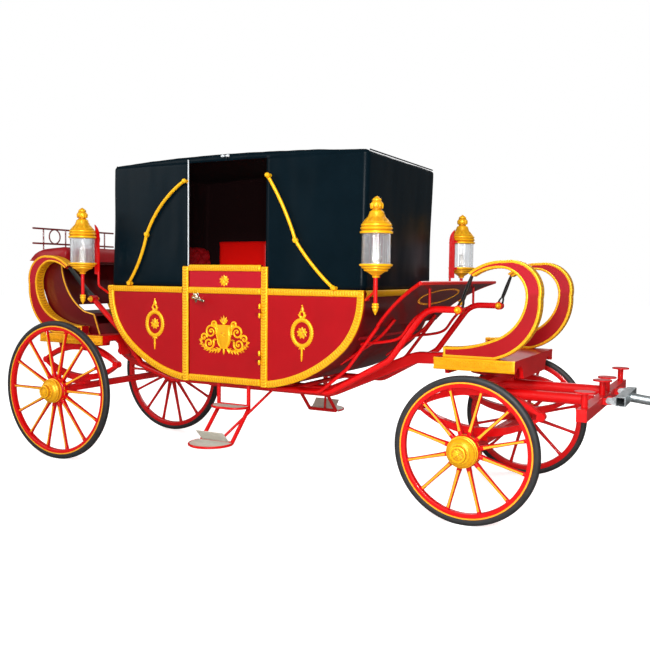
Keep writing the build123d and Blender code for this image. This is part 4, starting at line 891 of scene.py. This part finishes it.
# Hood fittings. A pale piping strip down the rear half's door edge, rolled seams round the
# roof, and two white clips on the ridge that latch the halves together.
piping, tree, shader, place = new_finish("pale_edge_piping")
_, colour = mottled(tree, place, 50, 5.0, "9AA0A4", "D9DDE0")
feed(tree, shader, {"Base Color": colour, "Roughness": 0.5})
edge_x = door_edges[-1]
strip_x, strip_y = edge_x + 1, 2 - hood_half_width
path, _ = even([(strip_x, strip_y, post_top_z + 2), (strip_x, strip_y, header_z + 20)], 40.0)
strip = bar(path, 5.0, 10)
clips = []
for x in (body_middle - 26.0, body_middle + 16.0):
    y = -hood_half_width
    clips.append(bar([(x - 14, y - 1, hood_middle_z - 22), (x, y - 2, hood_middle_z - 19),
                      (x + 14, y - 1, hood_middle_z - 22)], 9.0, 12, [0.8, 1.1, 0.8]))
build("hood_edge_piping", both([strip]), piping, "root")
build("hood_latch_clips", both(clips), piping, "root")
seams = []
for side in (-1, 1):
    top_x = body_middle + side * (hood_ends[side][1] - 6.0)
    seam_y = hood_half_width - 44
    path, _ = even([(top_x, -seam_y, hood_edge_z), (top_x, seam_y, hood_edge_z)], 30.0)
    seams.append(bar(path, 5.0, 10))
build("hood_roof_seams", joined(seams), hood_leather, "root")

# Landau irons. Wrought and gilded S bars that lock the hood up, hinged at a knuckle in the
# middle, with a ball at each end where they turn on a stud.
iron_y = hood_half_width + 15.0
iron_table = (
    # upper ball, bend, knuckle, bend, lower ball
    ((-513.0, 2252.0), (-716.0, 2096.0), (-880.0, 1853.0), (-950.0, 1660.0), (-1064.0, 1474.0)),
    ((228.0, 2261.0), (352.0, 2056.0), (466.0, 1795.0), (588.0, 1640.0), (766.0, 1468.0)),
)
ball = [(0, -19), (9, -17), (16, -10), (19, 0), (16, 10), (9, 17), (0, 19)]
stud = [(0, -14), (13, -14), (13, -4), (10, 0), (10, 16), (15, 18), (17, 26), (12, 34), (0, 37)]
pin = [(0, -16), (17, -14), (19, -8), (19, 8), (17, 13), (8, 17), (0, 18)]
forms = []
for upper, bend, knuckle, second, lower in iron_table:
    for path in (arc(upper, bend, knuckle, 14.0), arc(knuckle, second, lower, 14.0)):
        forms.append(bar([(x, -iron_y, z) for x, z in path], 12.5, 14))
    for x, z in (upper, lower):
        forms.append(facing(turned(ball, 20), -1, (x, -iron_y, z)))
        forms.append(facing(turned(stud, 20), -1, (x + 17, -iron_y + 3, z - 3)))
    x, z = knuckle
    forms.append(facing(turned(pin, 24), -1, (x, -iron_y, z)))
    forms.append(bar([(x - 18, -iron_y, z + 12), (x - 6, -iron_y, z + 4)], 10.0, 12))
build("gilt_landau_irons", both(forms), gilt, "root", ["landau_irons"])

# Seats. Horsehair under crimson morocco leather: the backs are buttoned in diamonds, the seat
# cushions are welted boxes, and flat squabs line the sides beside the doors, in a brighter copy of the
# morocco that is painted light.
# Morocco leather: crimson, soft sheen, fine pebble, mottled darker and lighter at random.
def morocco_leather(name, dark, light):
    material, tree, shader, place = new_finish(name)
    pebble = add(tree, "ShaderNodeTexVoronoi", {"Vector": place, "Scale": 1 / (5 * mm)})
    wear, colour = mottled(tree, place, 90, 6.0, dark, light)
    rough = add(tree, "ShaderNodeMapRange", {"Value": wear, "To Min": 0.5, "To Max": 0.32})
    bump = add(tree, "ShaderNodeBump", {"Height": pebble.outputs["Distance"], "Strength": 0.25,
                                        "Distance": 0.6 * mm})
    feed(tree, shader, {"Base Color": colour, "Roughness": rough.outputs["Result"], "IOR": 1.4,
                        "Normal": bump.outputs["Normal"]})
    return material


crimson = morocco_leather("crimson_morocco", "7A0810", "A80E18")
# Painted light: the side squabs' morocco is the crimson made brighter, standing in for the light that falls
# on them beside the door.
bright = morocco_leather("crimson_morocco_painted_light", "F00804", "FF120A")
maroon = morocco_leather("maroon_morocco", "7C000A", "A00212")


def cushion(name, low, high, finish, body, stands_for, cap=14.0, voxel=9.0):
    """A box cushion from a rounded block that is blown up by a cloth run, then smoothed."""
    low, high = np.array(low, float), np.array(high, float)
    shape = bmesh.new()
    bmesh.ops.create_cube(shape, size=1.0)
    centre, size = (low + high) / 2, high - low - 2 * cap * np.array([0.7, 0.7, 0.55])
    for vert in shape.verts:
        vert.co = Vector((centre + np.array(vert.co) * size) * mm) + Vector((middle_x, 0, 0))
    bmesh.ops.bevel(shape, geom=shape.edges[:], offset=22 * mm, segments=3, affect="EDGES")
    mesh = bpy.data.meshes.new(name)
    shape.to_mesh(mesh)
    shape.free()
    pad = bpy.data.objects.new(name, mesh)
    bpy.context.scene.collection.objects.link(pad)
    knit = pad.modifiers.new("knit", "REMESH")
    knit.mode, knit.voxel_size = "VOXEL", voxel * mm
    graph = bpy.context.evaluated_depsgraph_get()
    knitted = bpy.data.meshes.new_from_object(pad.evaluated_get(graph))
    pad.modifiers.clear()
    pad.data = knitted
    rest = np.array([v.co for v in knitted.vertices])
    cloth = pad.modifiers.new("blown", "CLOTH")
    cloth.settings.quality = 4
    cloth.settings.use_pressure = True
    cloth.settings.uniform_pressure_force = 4.0
    cloth.settings.effector_weights.gravity = 0.0
    for count in range(1, 21):
        bpy.context.scene.frame_set(count)
    graph = bpy.context.evaluated_depsgraph_get()
    blown = np.array([v.co for v in pad.evaluated_get(graph).data.vertices])
    pad.modifiers.clear()
    move = blown - rest
    length = np.linalg.norm(move, axis=1)[:, None]
    rest = rest + move * np.minimum(1.0, cap * mm / np.maximum(length, 1e-9))
    bpy.context.scene.frame_set(1)
    flat_low = (low[2] + 0.4) * mm
    rest[:, 2] = np.maximum(rest[:, 2], flat_low)
    for vert, co in zip(knitted.vertices, rest):
        vert.co = co
    for polygon in knitted.polygons:
        polygon.use_smooth = True
    soften = pad.modifiers.new("soften", "SUBSURF")
    soften.levels = soften.render_levels = 1
    knitted.materials.append(finish)
    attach(pad, body)
    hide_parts(*stands_for)
    return pad


def in_car(corner):
    """A frame corner in metres as millimetres from mid-wheelbase."""
    return np.array([(corner.x - middle_x) / mm, corner.y / mm, corner.z / mm])


cushion_low, cushion_high = (in_car(c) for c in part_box("seat_cushions"))
back_low, back_high = (in_car(c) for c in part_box("seat_backs"))
for name, x_low, x_high in (("rear", cushion_low[0], rear_post_x - 50.0),
                            ("front", front_post_x + 50.0, cushion_high[0])):
    cushion(f"seat_cushion_{name}", (x_low, *cushion_low[1:]), (x_high, *cushion_high[1:]), crimson, "root",
            ["seat_cushions"], 16.0, 12.0)


def buttoned(name, x_face, way, half, z_low, z_high, thick, stands_for, round_top=120.0):
    """A back squab drawn into diamonds by rows of buttons, its face towards way along X."""
    pitch_y, pitch_z = 135.0, 120.0
    ys = np.linspace(-half, half, int(2 * half / 12) + 1)
    zs = np.linspace(z_low, z_high, int((z_high - z_low) / 12) + 1)
    rows = []
    for z in zs:
        row = []
        for y in ys:
            a, b = y / pitch_y, (z - z_low) / pitch_z
            p, q = a + b / 1.0, a - b / 1.0
            crease = min(abs(p - round(p)), abs(q - round(q)))
            button = math.hypot(p - round(p), q - round(q))
            puff = 26.0 * (min(1.0, crease * 2.6)) ** 0.6 - 16.0 * math.exp(-(button * 7) ** 2)
            edge = min(1.0, (half - abs(y)) / 45.0, (z - z_low + 8) / 45.0, (z_high - z) / 45.0)
            corner = max(0.0, abs(y) - (half - round_top)), max(0.0, z - (z_high - round_top))
            trim = math.hypot(*corner)
            y_at, z_at = y, z
            if trim > round_top and corner[0] > 0 and corner[1] > 0:
                y_at = math.copysign(half - round_top + corner[0] * round_top / trim, y)
                z_at = z_high - round_top + corner[1] * round_top / trim
                edge = 0.0
            depth = thick - 42.0 + (puff + 16.0) * max(0.0, edge) ** 0.5
            row.append((x_face - way * (thick - depth), y_at, z_at))
        rows.append(row)
    front = sheet_of(np.array(rows))
    back = (front[0].copy(), front[1])
    back[0][:, 0] = x_face - way * thick
    last_row, last_column = len(zs) - 1, len(ys) - 1
    border = [(0, j) for j in range(len(ys))] + [(i, last_column) for i in range(1, len(zs))]
    border += [(last_row, j) for j in range(last_column - 1, -1, -1)]
    border += [(i, 0) for i in range(last_row - 1, -1, -1)]
    grid = front[0].reshape(len(zs), len(ys), 3)
    rim_front = np.array([grid[i, j] for i, j in border])
    rim_back = rim_front.copy()
    rim_back[:, 0] = x_face - way * thick
    form = joined([front, back, sheet_of(np.array([rim_front, rim_back]))])
    made = build(name, form, crimson, "root", stands_for, 70.0)
    buttons = []
    for i in range(-6, 7):
        for j in range(0, 10):
            y, z = (i * 0.5) * pitch_y, z_low + (j * 0.5) * pitch_z
            if (i + j) % 2 == 0 and abs(y) < half - 60 and z_low + 50 < z < z_high - 60:
                form = placed(bead(10, 6), (0, 1, 0), (0, 0, 1), (way, 0, 0), (x_face - way * 40.0, y, z))
                buttons.append(form)
    return buttons


back_thick, back_half_width, back_foot_z = 95.0, 540.0, cushion_low[2] + 4
back_table = (
    # end, face, the way it looks, top
    ("rear", back_low[0] + back_thick, 1, 1790.0),
    ("front", back_high[0] - back_thick, -1, 1640.0),
)
buttons = []
for name, x_face, way, top_z in back_table:
    buttons += buttoned(f"buttoned_back_{name}", x_face, way, back_half_width, back_foot_z, top_z, back_thick,
                        ["seat_backs"])
build("squab_buttons", joined(buttons), crimson, "root")
squab_low, squab_high = (in_car(c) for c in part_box("side_squabs"))
forms = []
for side in (-1, 1):
    y_out = side * (squab_high[1] - 0.5)
    rows = []
    for z in np.linspace(squab_low[2], squab_high[2], 40):
        row = [(squab_low[0], y_out, z)]
        for x in np.linspace(squab_low[0], squab_high[0], 36):
            edge = min(1.0, (x - squab_low[0]) / 26, (squab_high[0] - x) / 26, (z - squab_low[2]) / 26,
                       (squab_high[2] - z) / 26)
            row.append((x, y_out - side * (13 + 15 * max(0.0, edge) ** 0.5), z))
        row.append((squab_high[0], y_out, z))
        rows.append(row)
    top, low = [(p[0], y_out, p[2]) for p in rows[-1]], [(p[0], y_out, p[2]) for p in rows[0]]
    forms.append(sheet_of(np.array([low] + rows + [top])))
# The flat side squabs take the brighter morocco, which is painted light.
made = build("flat_side_squabs", joined(forms), bright, "root", ["side_squabs"], 70.0)

# Lamps. Spun and stamped brass, gilded: a finial over a bell, three rings, then a cylinder of
# ribbed glass in which a candle tube stands, a stepped cup and an enamelled stem with a gilt
# acorn. Each hangs on a shaped board with an iron arm from the corner of the body.
# Ribbed glass: clear soda glass, slightly grey, its fluted wall bending what lies behind.
glass, tree, shader, place = new_finish("ribbed_lamp_glass")
feed(tree, shader, {"Base Color": linear("F2F4F6"), "Roughness": 0.06, "IOR": 1.5,
                    "Transmission Weight": 0.92, "Normal": rippled(tree, place, 22, 0.35, 1.5, 4.0)})
# Candle tube: enamelled white tin, glossy.
candle, tree, shader, place = new_finish("white_tin_candle_tube")
_, colour = mottled(tree, place, 30, 2.0, "D8D6CE", "F4F2EA")
feed(tree, shader, {"Base Color": colour, "Roughness": 0.35})

glass_low, glass_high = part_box("lamp_glasses")
glass_r = 93.0
lamp_y = glass_high.y / mm - glass_r
foot_z, crown_z = glass_low.z / mm, glass_high.z / mm
lamp_xs = ((glass_low.x - middle_x) / mm + glass_r, (glass_high.x - middle_x) / mm - glass_r)
cap_profile = [
    (0, 0), (98, 0), (104, 1), (106, 5), (106, 12), (102, 16), (97, 17), (95, 20), (96, 24), (101, 27),
    (104, 32), (102, 38), (97, 41), (95, 44), (98, 47), (100, 52), (98, 58), (94, 62), (90, 65), (91, 69),
    (85, 74), (74, 83), (65, 93), (58, 104), (53, 116), (48, 128), (46, 137), (42, 142), (35, 146),
    (30, 150), (29, 156), (33, 160), (38, 165), (41, 172), (42, 181), (40, 190), (36, 197), (31, 203),
    (29, 207), (31, 211), (29, 217), (22, 224), (14, 230), (6, 236), (0, 239),
]
base_profile = [
    (0, 0), (98, 0), (106, -2), (108, -7), (106, -13), (100, -16), (95, -17), (93, -20), (94, -24),
    (91, -29), (84, -31), (79, -33), (78, -37), (79, -41), (75, -46), (68, -48), (60, -50), (52, -55),
    (40, -64), (30, -70), (24, -74), (22, -78), (24, -82), (22, -87), (16, -89), (0, -90),
]
candle_profile = [(0, 0), (40, 0), (40, 4), (22, 8), (17, 12), (17, 96), (19, 98), (19, 104), (15, 106),
                  (8, 107), (7, 150), (5, 154), (0, 155)]
acorn_profile = [(0, 0), (18, 0), (22, -4), (22, -10), (18, -13), (20, -16), (23, -20), (23, -26), (20, -31),
                 (17, -34), (18, -38), (17, -46), (12, -56), (7, -64), (5, -70), (0, -78)]
base_depth, stem_length, glass_wall, flutes, flute_depth = 90.0, 162.0, 5.0, 32, 2.2
leaf_table = (
    # leaf, distance from the axis, height over the glass, lean
    (leaf(34, 17, 5), 36.0, 157.0, (0.18, 1.0)),
    (leaf(62, 30, 5), 86.0, 70.0, (-0.72, 0.8)),
)
inner_r = glass_r - glass_wall
glass_walls = ((glass_r, foot_z), (glass_r, crown_z), (inner_r, crown_z), (inner_r, foot_z),
               (glass_r, foot_z))


def upright(form, x, z):
    """A form set on a lamp's axis with its height axis up."""
    return placed(form, (1, 0, 0), (0, 1, 0), (0, 0, 1), (x, -lamp_y, z))


gilt_forms, glass_forms, candle_forms, tip_forms = [], [], [], []
for x in lamp_xs:
    gilt_forms.append(upright(turned(cap_profile, 64), x, crown_z))
    for angle in 2 * math.pi * np.arange(12) / 12:
        out = np.array([math.cos(angle), math.sin(angle), 0])
        across = np.array([-math.sin(angle), math.cos(angle), 0])
        for form, reach, rise, (lean, climb) in leaf_table:
            leaf_at = np.array([x, -lamp_y, crown_z + rise]) + out * reach
            gilt_forms.append(placed(form, across, (out[0] * lean, out[1] * lean, climb), out, leaf_at))
    gilt_forms.append(upright(turned(base_profile, 64), x, foot_z))
    turn = np.linspace(0, 2 * math.pi, flutes * 6 + 1)
    rows = []
    for wall_r, z in glass_walls:
        reach = wall_r - (flute_depth * np.abs(np.sin(flutes / 2 * turn)) if wall_r == glass_r else 0)
        u, v = x + reach * np.cos(turn), -lamp_y + reach * np.sin(turn)
        rows.append(np.stack([u, v, z + 0 * turn], axis=-1))
    glass_forms.append(sheet_of(np.array(rows)))
    candle_forms.append(upright(turned(candle_profile, 32), x, foot_z))
    tip_forms.append(upright(turned(acorn_profile, 32), x, foot_z - base_depth - stem_length))
build("gilt_lamp_bodies", both(gilt_forms), gilt, "root", ["lamp_gilt"], 45.0)
build("ribbed_lamp_glasses", both(glass_forms), glass, "root", ["lamp_glasses"], 60.0)
build("lamp_candle_tubes", both(candle_forms), candle, "root")
build("gilt_lamp_acorns", both(tip_forms), gilt, "root", ["lamp_gilt"])

# Dash board. A curved panel of ash and canvas, lacquered dark red, that keeps mud off the body.
# Its bright red rim is braced by irons, and a laced line of gold runs round the blank oval sign.
dress(maroon_enamel, "dash_board", "rumble_body")
under, under_run = even(arc((1073.6, 1205.8), (1247.6, 1372.8), (1480.6, 1503.8), 6.0), 4.0)
sign_run = np.interp(1302.0, under[:, 0], under_run)


def sign_oval(half_width, half_height):
    """An oval that follows the curve of the board's underside."""
    oval = []
    for a in np.linspace(0, 2 * math.pi, 73):
        x, z = (np.interp(sign_run + half_height * math.sin(a), under_run, under[:, i]) for i in (0, 1))
        oval.append((x, half_width * math.cos(a), z))
    return np.array(oval)


outer_oval, inner_oval = sign_oval(350, 108), sign_oval(334, 94)
sign_forms = [bar(outer_oval, 3.0, 8), bar(inner_oval, 2.0, 8)]
for start, stop in zip(outer_oval[:-1:2], inner_oval[:-1:2]):
    lace = [start + (stop - start) * share for share in (0.1, 0.4, 0.7, 0.95)]
    sign_forms.append(bar(lace, 4.2, 8, [0.3, 1.0, 1.0, 0.3]))
build("dash_sign_outline", joined(sign_forms), lining_gold, "root")
dash_line = np.array(arc((1064.8, 1212.4), (1238.8, 1379.4), (1471.8, 1510.4), 12.0))
dash_curve = np.polyfit((1056.0, 1230.0, 1463.0), (552.0, 632.0, 812.0), 2)
dash_half = np.polyval(dash_curve, dash_line[:, 0] - 8.8)
dash_side = np.stack([dash_line[:, 0], -dash_half, dash_line[:, 1]], axis=-1)
dash_top, _ = even([dash_side[-1], dash_side[-1] * np.array([1, -1, 1])], 40.0)
rim_r, brace_r = 12.6, 11.0
edge_forms = [bar(dash_side, rim_r), far_side(bar(dash_side, rim_r)), bar(dash_top, rim_r)]
# Two more irons a side brace the dash from the front of the body and from its bearers.
body_front, _ = belly(1)
brace_table = (
    # height and |Y| at the body, then the points that the iron passes
    (915.0, 400.0, ((1000.0, 1107.0), (1062.0, 1172.0), (1128.0, 1252.0))),
    (1072.0, 440.0, ((1099.0, 1098.0), (1197.0, 1127.0), (1244.0, 1212.0), (1315.0, 1294.0),
                     (1392.0, 1322.0))),
)
for z, y, line in brace_table:
    root_x = np.interp(z, body_front[:, 2], body_front[:, 0]) - 3.0
    stops = np.array([(root_x, z), *line])
    share = np.linspace(0, len(stops) - 1, 40)
    smooth = np.stack([np.interp(share, range(len(stops)), stops[:, i]) for i in (0, 1)], axis=-1)
    for _ in range(12):
        smooth[1:-1] = (smooth[:-2] + smooth[1:-1] + smooth[2:]) / 3
    iron = bar(np.stack([smooth[:, 0], 0 * share - y, smooth[:, 1]], axis=-1), brace_r)
    edge_forms += [iron, far_side(iron)]
build("dash_rim_and_braces", joined(edge_forms), coach_red, "root")

# Rear seat for the groom. A maroon cushion with a welt, on a curved and lined wooden body,
# with an iron rail behind it whose darker red is painted shade.
_, rumble_high = (in_car(c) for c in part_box("rumble_cushion"))
half = rumble_high[1]
profile, _ = even([(-1985, 1649), (-2120, 1649), (-2280, 1649), (-2400, 1649), (-2436, 1652), (-2430, 1672),
                   (-2412, 1696), (-2384, 1721), (-2345, 1741), (-2296, 1754), (-2240, 1760), (-2160, 1766),
                   (-2100, 1770), (-2050, 1774), (-2022, 1772), (-2000, 1759), (-1988, 1733), (-1985, 1700),
                   (-1985, 1660), (-1985, 1649)], 16.0)
rows = []
for y in np.linspace(-1, 1, 61):
    row = []
    edge = min(1.0, (1 - abs(y)) * half / 40.0) ** 0.5
    for x, z in profile:
        swell = 1.2 * math.sin(y * half / 38.0) if z > 1690 else 0.0
        low_x = x + (1 - edge) * (-2200 - x) * 0.05
        row.append((low_x, y * half, 1649 + (z - 1649) * (0.72 + 0.28 * edge) + swell * edge))
    rows.append(row)
ends = [[tuple(np.mean(np.array(row), axis=0))] * len(row) for row in (rows[0], rows[-1])]
form = sheet_of(np.array([ends[0]] + rows + [ends[1]]))
made = build("maroon_rumble_cushion", form, maroon, "root", ["rumble_cushion"], 60.0)
path, _ = even([(-2432, -half + 2, 1656), (-2432, half - 2, 1656)], 30.0)
build("rumble_cushion_welt", bar(path, 4.0, 8), maroon, "root")
# Painted shade: the rail's enamel is a darker red standing in for the shade it lies in.
rail_red_painted_shade = coach_enamel("rail_enamel_painted_shade", "5A0608", "780A0C", 180, (16, 0.1, 0.4), (0.3, 1.5, 1.0, 0.04))
dress(rail_red_painted_shade, "rumble_rail")
side_line = arc((-2050.0, 1648.0), (-1975.0, 1390.0), (-1780.0, 1215.0), 10.0)
side_line += [(-1670.0, 1192.0), (-1605.0, deck_z)]
path, _ = even(side_line, 10.0)
line = np.array([(x, -410.5, z) for x, z in path])
stripe = bar(line, 6.0, 8)
build("rumble_gold_lines", both([stripe]), lining_gold, "root")

# Steps. Welded steel tube under red enamel with leaf-shaped treads, whose tops are ribbed
# aluminium plate, pale grey and scuffed, edged with a red rim.
tread_plate, tree, shader, place = new_finish("ribbed_aluminium_plate")
rib = add(tree, "ShaderNodeTexVoronoi", {"Vector": place, "Scale": 1 / (9 * mm)}, feature="DISTANCE_TO_EDGE")
scuff, colour = mottled(tree, place, 30, 6.0, "A9A69C", "DAD7CC")
bump = add(tree, "ShaderNodeBump", {"Height": rib.outputs["Distance"], "Strength": 0.5, "Distance": 1.2 * mm})
rough = add(tree, "ShaderNodeMapRange", {"Value": scuff, "To Min": 0.4, "To Max": 0.65})
feed(tree, shader, {"Base Color": colour, "Metallic": 0.15, "Roughness": rough.outputs["Result"],
                    "Normal": bump.outputs["Normal"]})
dress(tread_plate, "step_treads")
step_middle, step_half = -87.0, 149.0
rim_forms = []
tread_table = (
    # straight side's |Y|, height, depth to the tip
    (612.3, 580.0, 120.0),
    (827.3, 345.0, 215.0),
)
for y, z, depth in tread_table:
    right, left, tip = (step_middle + step_half, -y), (step_middle - step_half, -y), (step_middle, -y - depth)
    for start, way in ((right, 1), (left, -1)):
        bulge = (step_middle + way * step_half * 0.86, -y - depth * 0.66)
        edge_path = np.array([(a, b, z - 8.0) for a, b in arc(start, bulge, tip, 8.0)])
        rim_forms.append(bar(edge_path, 9.0, 10))
build("step_tread_rims", both(rim_forms), coach_red, "root")

# Platforms. Red enamelled boxes over the springs, with a plain gilt fascia on each side and a
# raised fret of hooked lines between double borders.
dress(coach_red, "platforms")
_, platform_high = (in_car(c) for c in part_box("platforms"))
fascia_height, fret_pitch = 79.0, 46
fascia_y, fascia_foot_z = -platform_high[1], deck_z - fascia_height
hook_line = ((4, 18), (4, 60), (19, 60), (19, 30), (11, 30), (11, 46))
forms = []
for x_low, x_high in ((1465.0, 2005.0), (-2190.0, -1460.0)):
    path, _ = even([(x_low, fascia_y, fascia_foot_z), (x_high, fascia_y, fascia_foot_z)], 12.0)
    forms.append(carved(path, (0, 0, 1), near, fascia_height, 5.0, 26.0, 0.0))
    width = x_high - x_low
    fret = [ribbon([(0, v), (width, v)], 2.6, 4.6, 7) for v in (5.0, 12.0, 66.0, 73.0)]
    count = int((width - 16) / fret_pitch)
    pitch = (width - 16) / count
    for number in range(count):
        u = 8 + pitch * number
        for way, middle in ((1, u), (-1, u + pitch)):
            hook, _ = even([(middle + way * a, b) for a, b in hook_line], 3.0)
            fret.append(ribbon(hook, 2.1, 4.4, 5))
    forms.append(facing(joined(fret), -1, (x_low, fascia_y - 3.6, fascia_foot_z)))
build("gilt_platform_fascias", both(forms), gilt, "root")

# Studio. A pale floor, a soft sky and large lamps; the camera stands where the photographer did,
# ahead and to the right of the carriage at eye height.
floor_paint, tree, shader, place = new_finish("pale_studio_floor")
_, colour = mottled(tree, place, 2500, 3.0, "F4F4F2", "FBFBFA")
seen = add(tree, "ShaderNodeLightPath", {})
colour = add(tree, "ShaderNodeMix", {0: seen.outputs["Is Glossy Ray"], 6: colour, 7: linear("4A4644")},
             data_type="RGBA")
glow = add(tree, "ShaderNodeMath", {0: seen.outputs["Is Camera Ray"], 1: 0.62}, operation="MULTIPLY")
feed(tree, shader, {"Base Color": colour.outputs[2], "Roughness": 0.9, "Emission Color": linear("FFFFFF"),
                    "Emission Strength": glow.outputs[0]})
floor_mesh = bpy.data.meshes.new("studio_floor")
floor_mesh.from_pydata([(-40, -40, 0), (40, -40, 0), (40, 40, 0), (-40, 40, 0)], [], [(0, 1, 2, 3)])
floor_mesh.materials.append(floor_paint)
floor = bpy.data.objects.new("studio_floor", floor_mesh)
bpy.context.scene.collection.objects.link(floor)

sky = bpy.data.worlds.new("soft_studio_sky")
bpy.context.scene.world = sky
sky.use_nodes = True
sky.node_tree.nodes["Background"].inputs["Color"].default_value = linear("FFFFFF")
ray = add(sky.node_tree, "ShaderNodeLightPath", {})
soft = add(sky.node_tree, "ShaderNodeMapRange", {"Value": ray.outputs["Is Glossy Ray"], "To Min": 0.55,
                                                 "To Max": 0.16})
clear = add(sky.node_tree, "ShaderNodeMath", {0: ray.outputs["Is Camera Ray"],
                                              1: ray.outputs["Is Transmission Ray"]}, operation="MAXIMUM")
strength = add(sky.node_tree, "ShaderNodeMapRange", {"Value": clear.outputs[0], "To Max": 1.0,
                                                     "To Min": soft.outputs["Result"]})
sky.node_tree.links.new(strength.outputs["Result"], sky.node_tree.nodes["Background"].inputs["Strength"])

for name, place_at, aim, size, power in (
    ("key_softbox", (2.5, -8.0, 6.5), (0.0, 0.0, 1.1), 3.0, 620.0),
    ("fill_softbox", (-7.0, -5.0, 4.0), (-1.0, 0.0, 1.0), 4.0, 120.0),
    ("back_softbox", (-2.0, 7.0, 5.0), (0.0, 0.0, 1.2), 4.0, 160.0),
    ("cabin_softbox", (1.5, -5.0, 1.9), (-1.6, 0.3, 1.6), 0.8, 150.0),
):
    light_data = bpy.data.lights.new(name, "AREA")
    light_data.size, light_data.energy = size, power
    lamp = bpy.data.objects.new(name, light_data)
    lamp.location = Vector(place_at)
    lamp.rotation_euler = (Vector(aim) - Vector(place_at)).to_track_quat("-Z", "Y").to_euler()
    bpy.context.scene.collection.objects.link(lamp)

eye = Vector((middle_x + 3.3075, -5.4869, 1.5597))
yaw, pitch, roll = math.radians(28.2267), math.radians(-3.644), math.radians(0.6454)
look = Vector((-math.sin(yaw) * math.cos(pitch), math.cos(yaw) * math.cos(pitch), math.sin(pitch)))
right_hand = Vector((math.cos(yaw), math.sin(yaw), 0.0))
upward = right_hand.cross(look)
across = right_hand * math.cos(roll) + upward * math.sin(roll)
upward = -right_hand * math.sin(roll) + upward * math.cos(roll)
camera_data = bpy.data.cameras.new("photographer")
camera_data.sensor_width = 36.0
camera_data.lens = 796.09 / 650.0 * 36.0
camera = bpy.data.objects.new("photographer", camera_data)
camera.matrix_world = Matrix((
    (across.x, upward.x, -look.x, eye.x),
    (across.y, upward.y, -look.y, eye.y),
    (across.z, upward.z, -look.z, eye.z),
    (0.0, 0.0, 0.0, 1.0),
))
bpy.context.scene.collection.objects.link(camera)
bpy.context.scene.camera = camera
bpy.context.scene.view_settings.view_transform = "Standard"
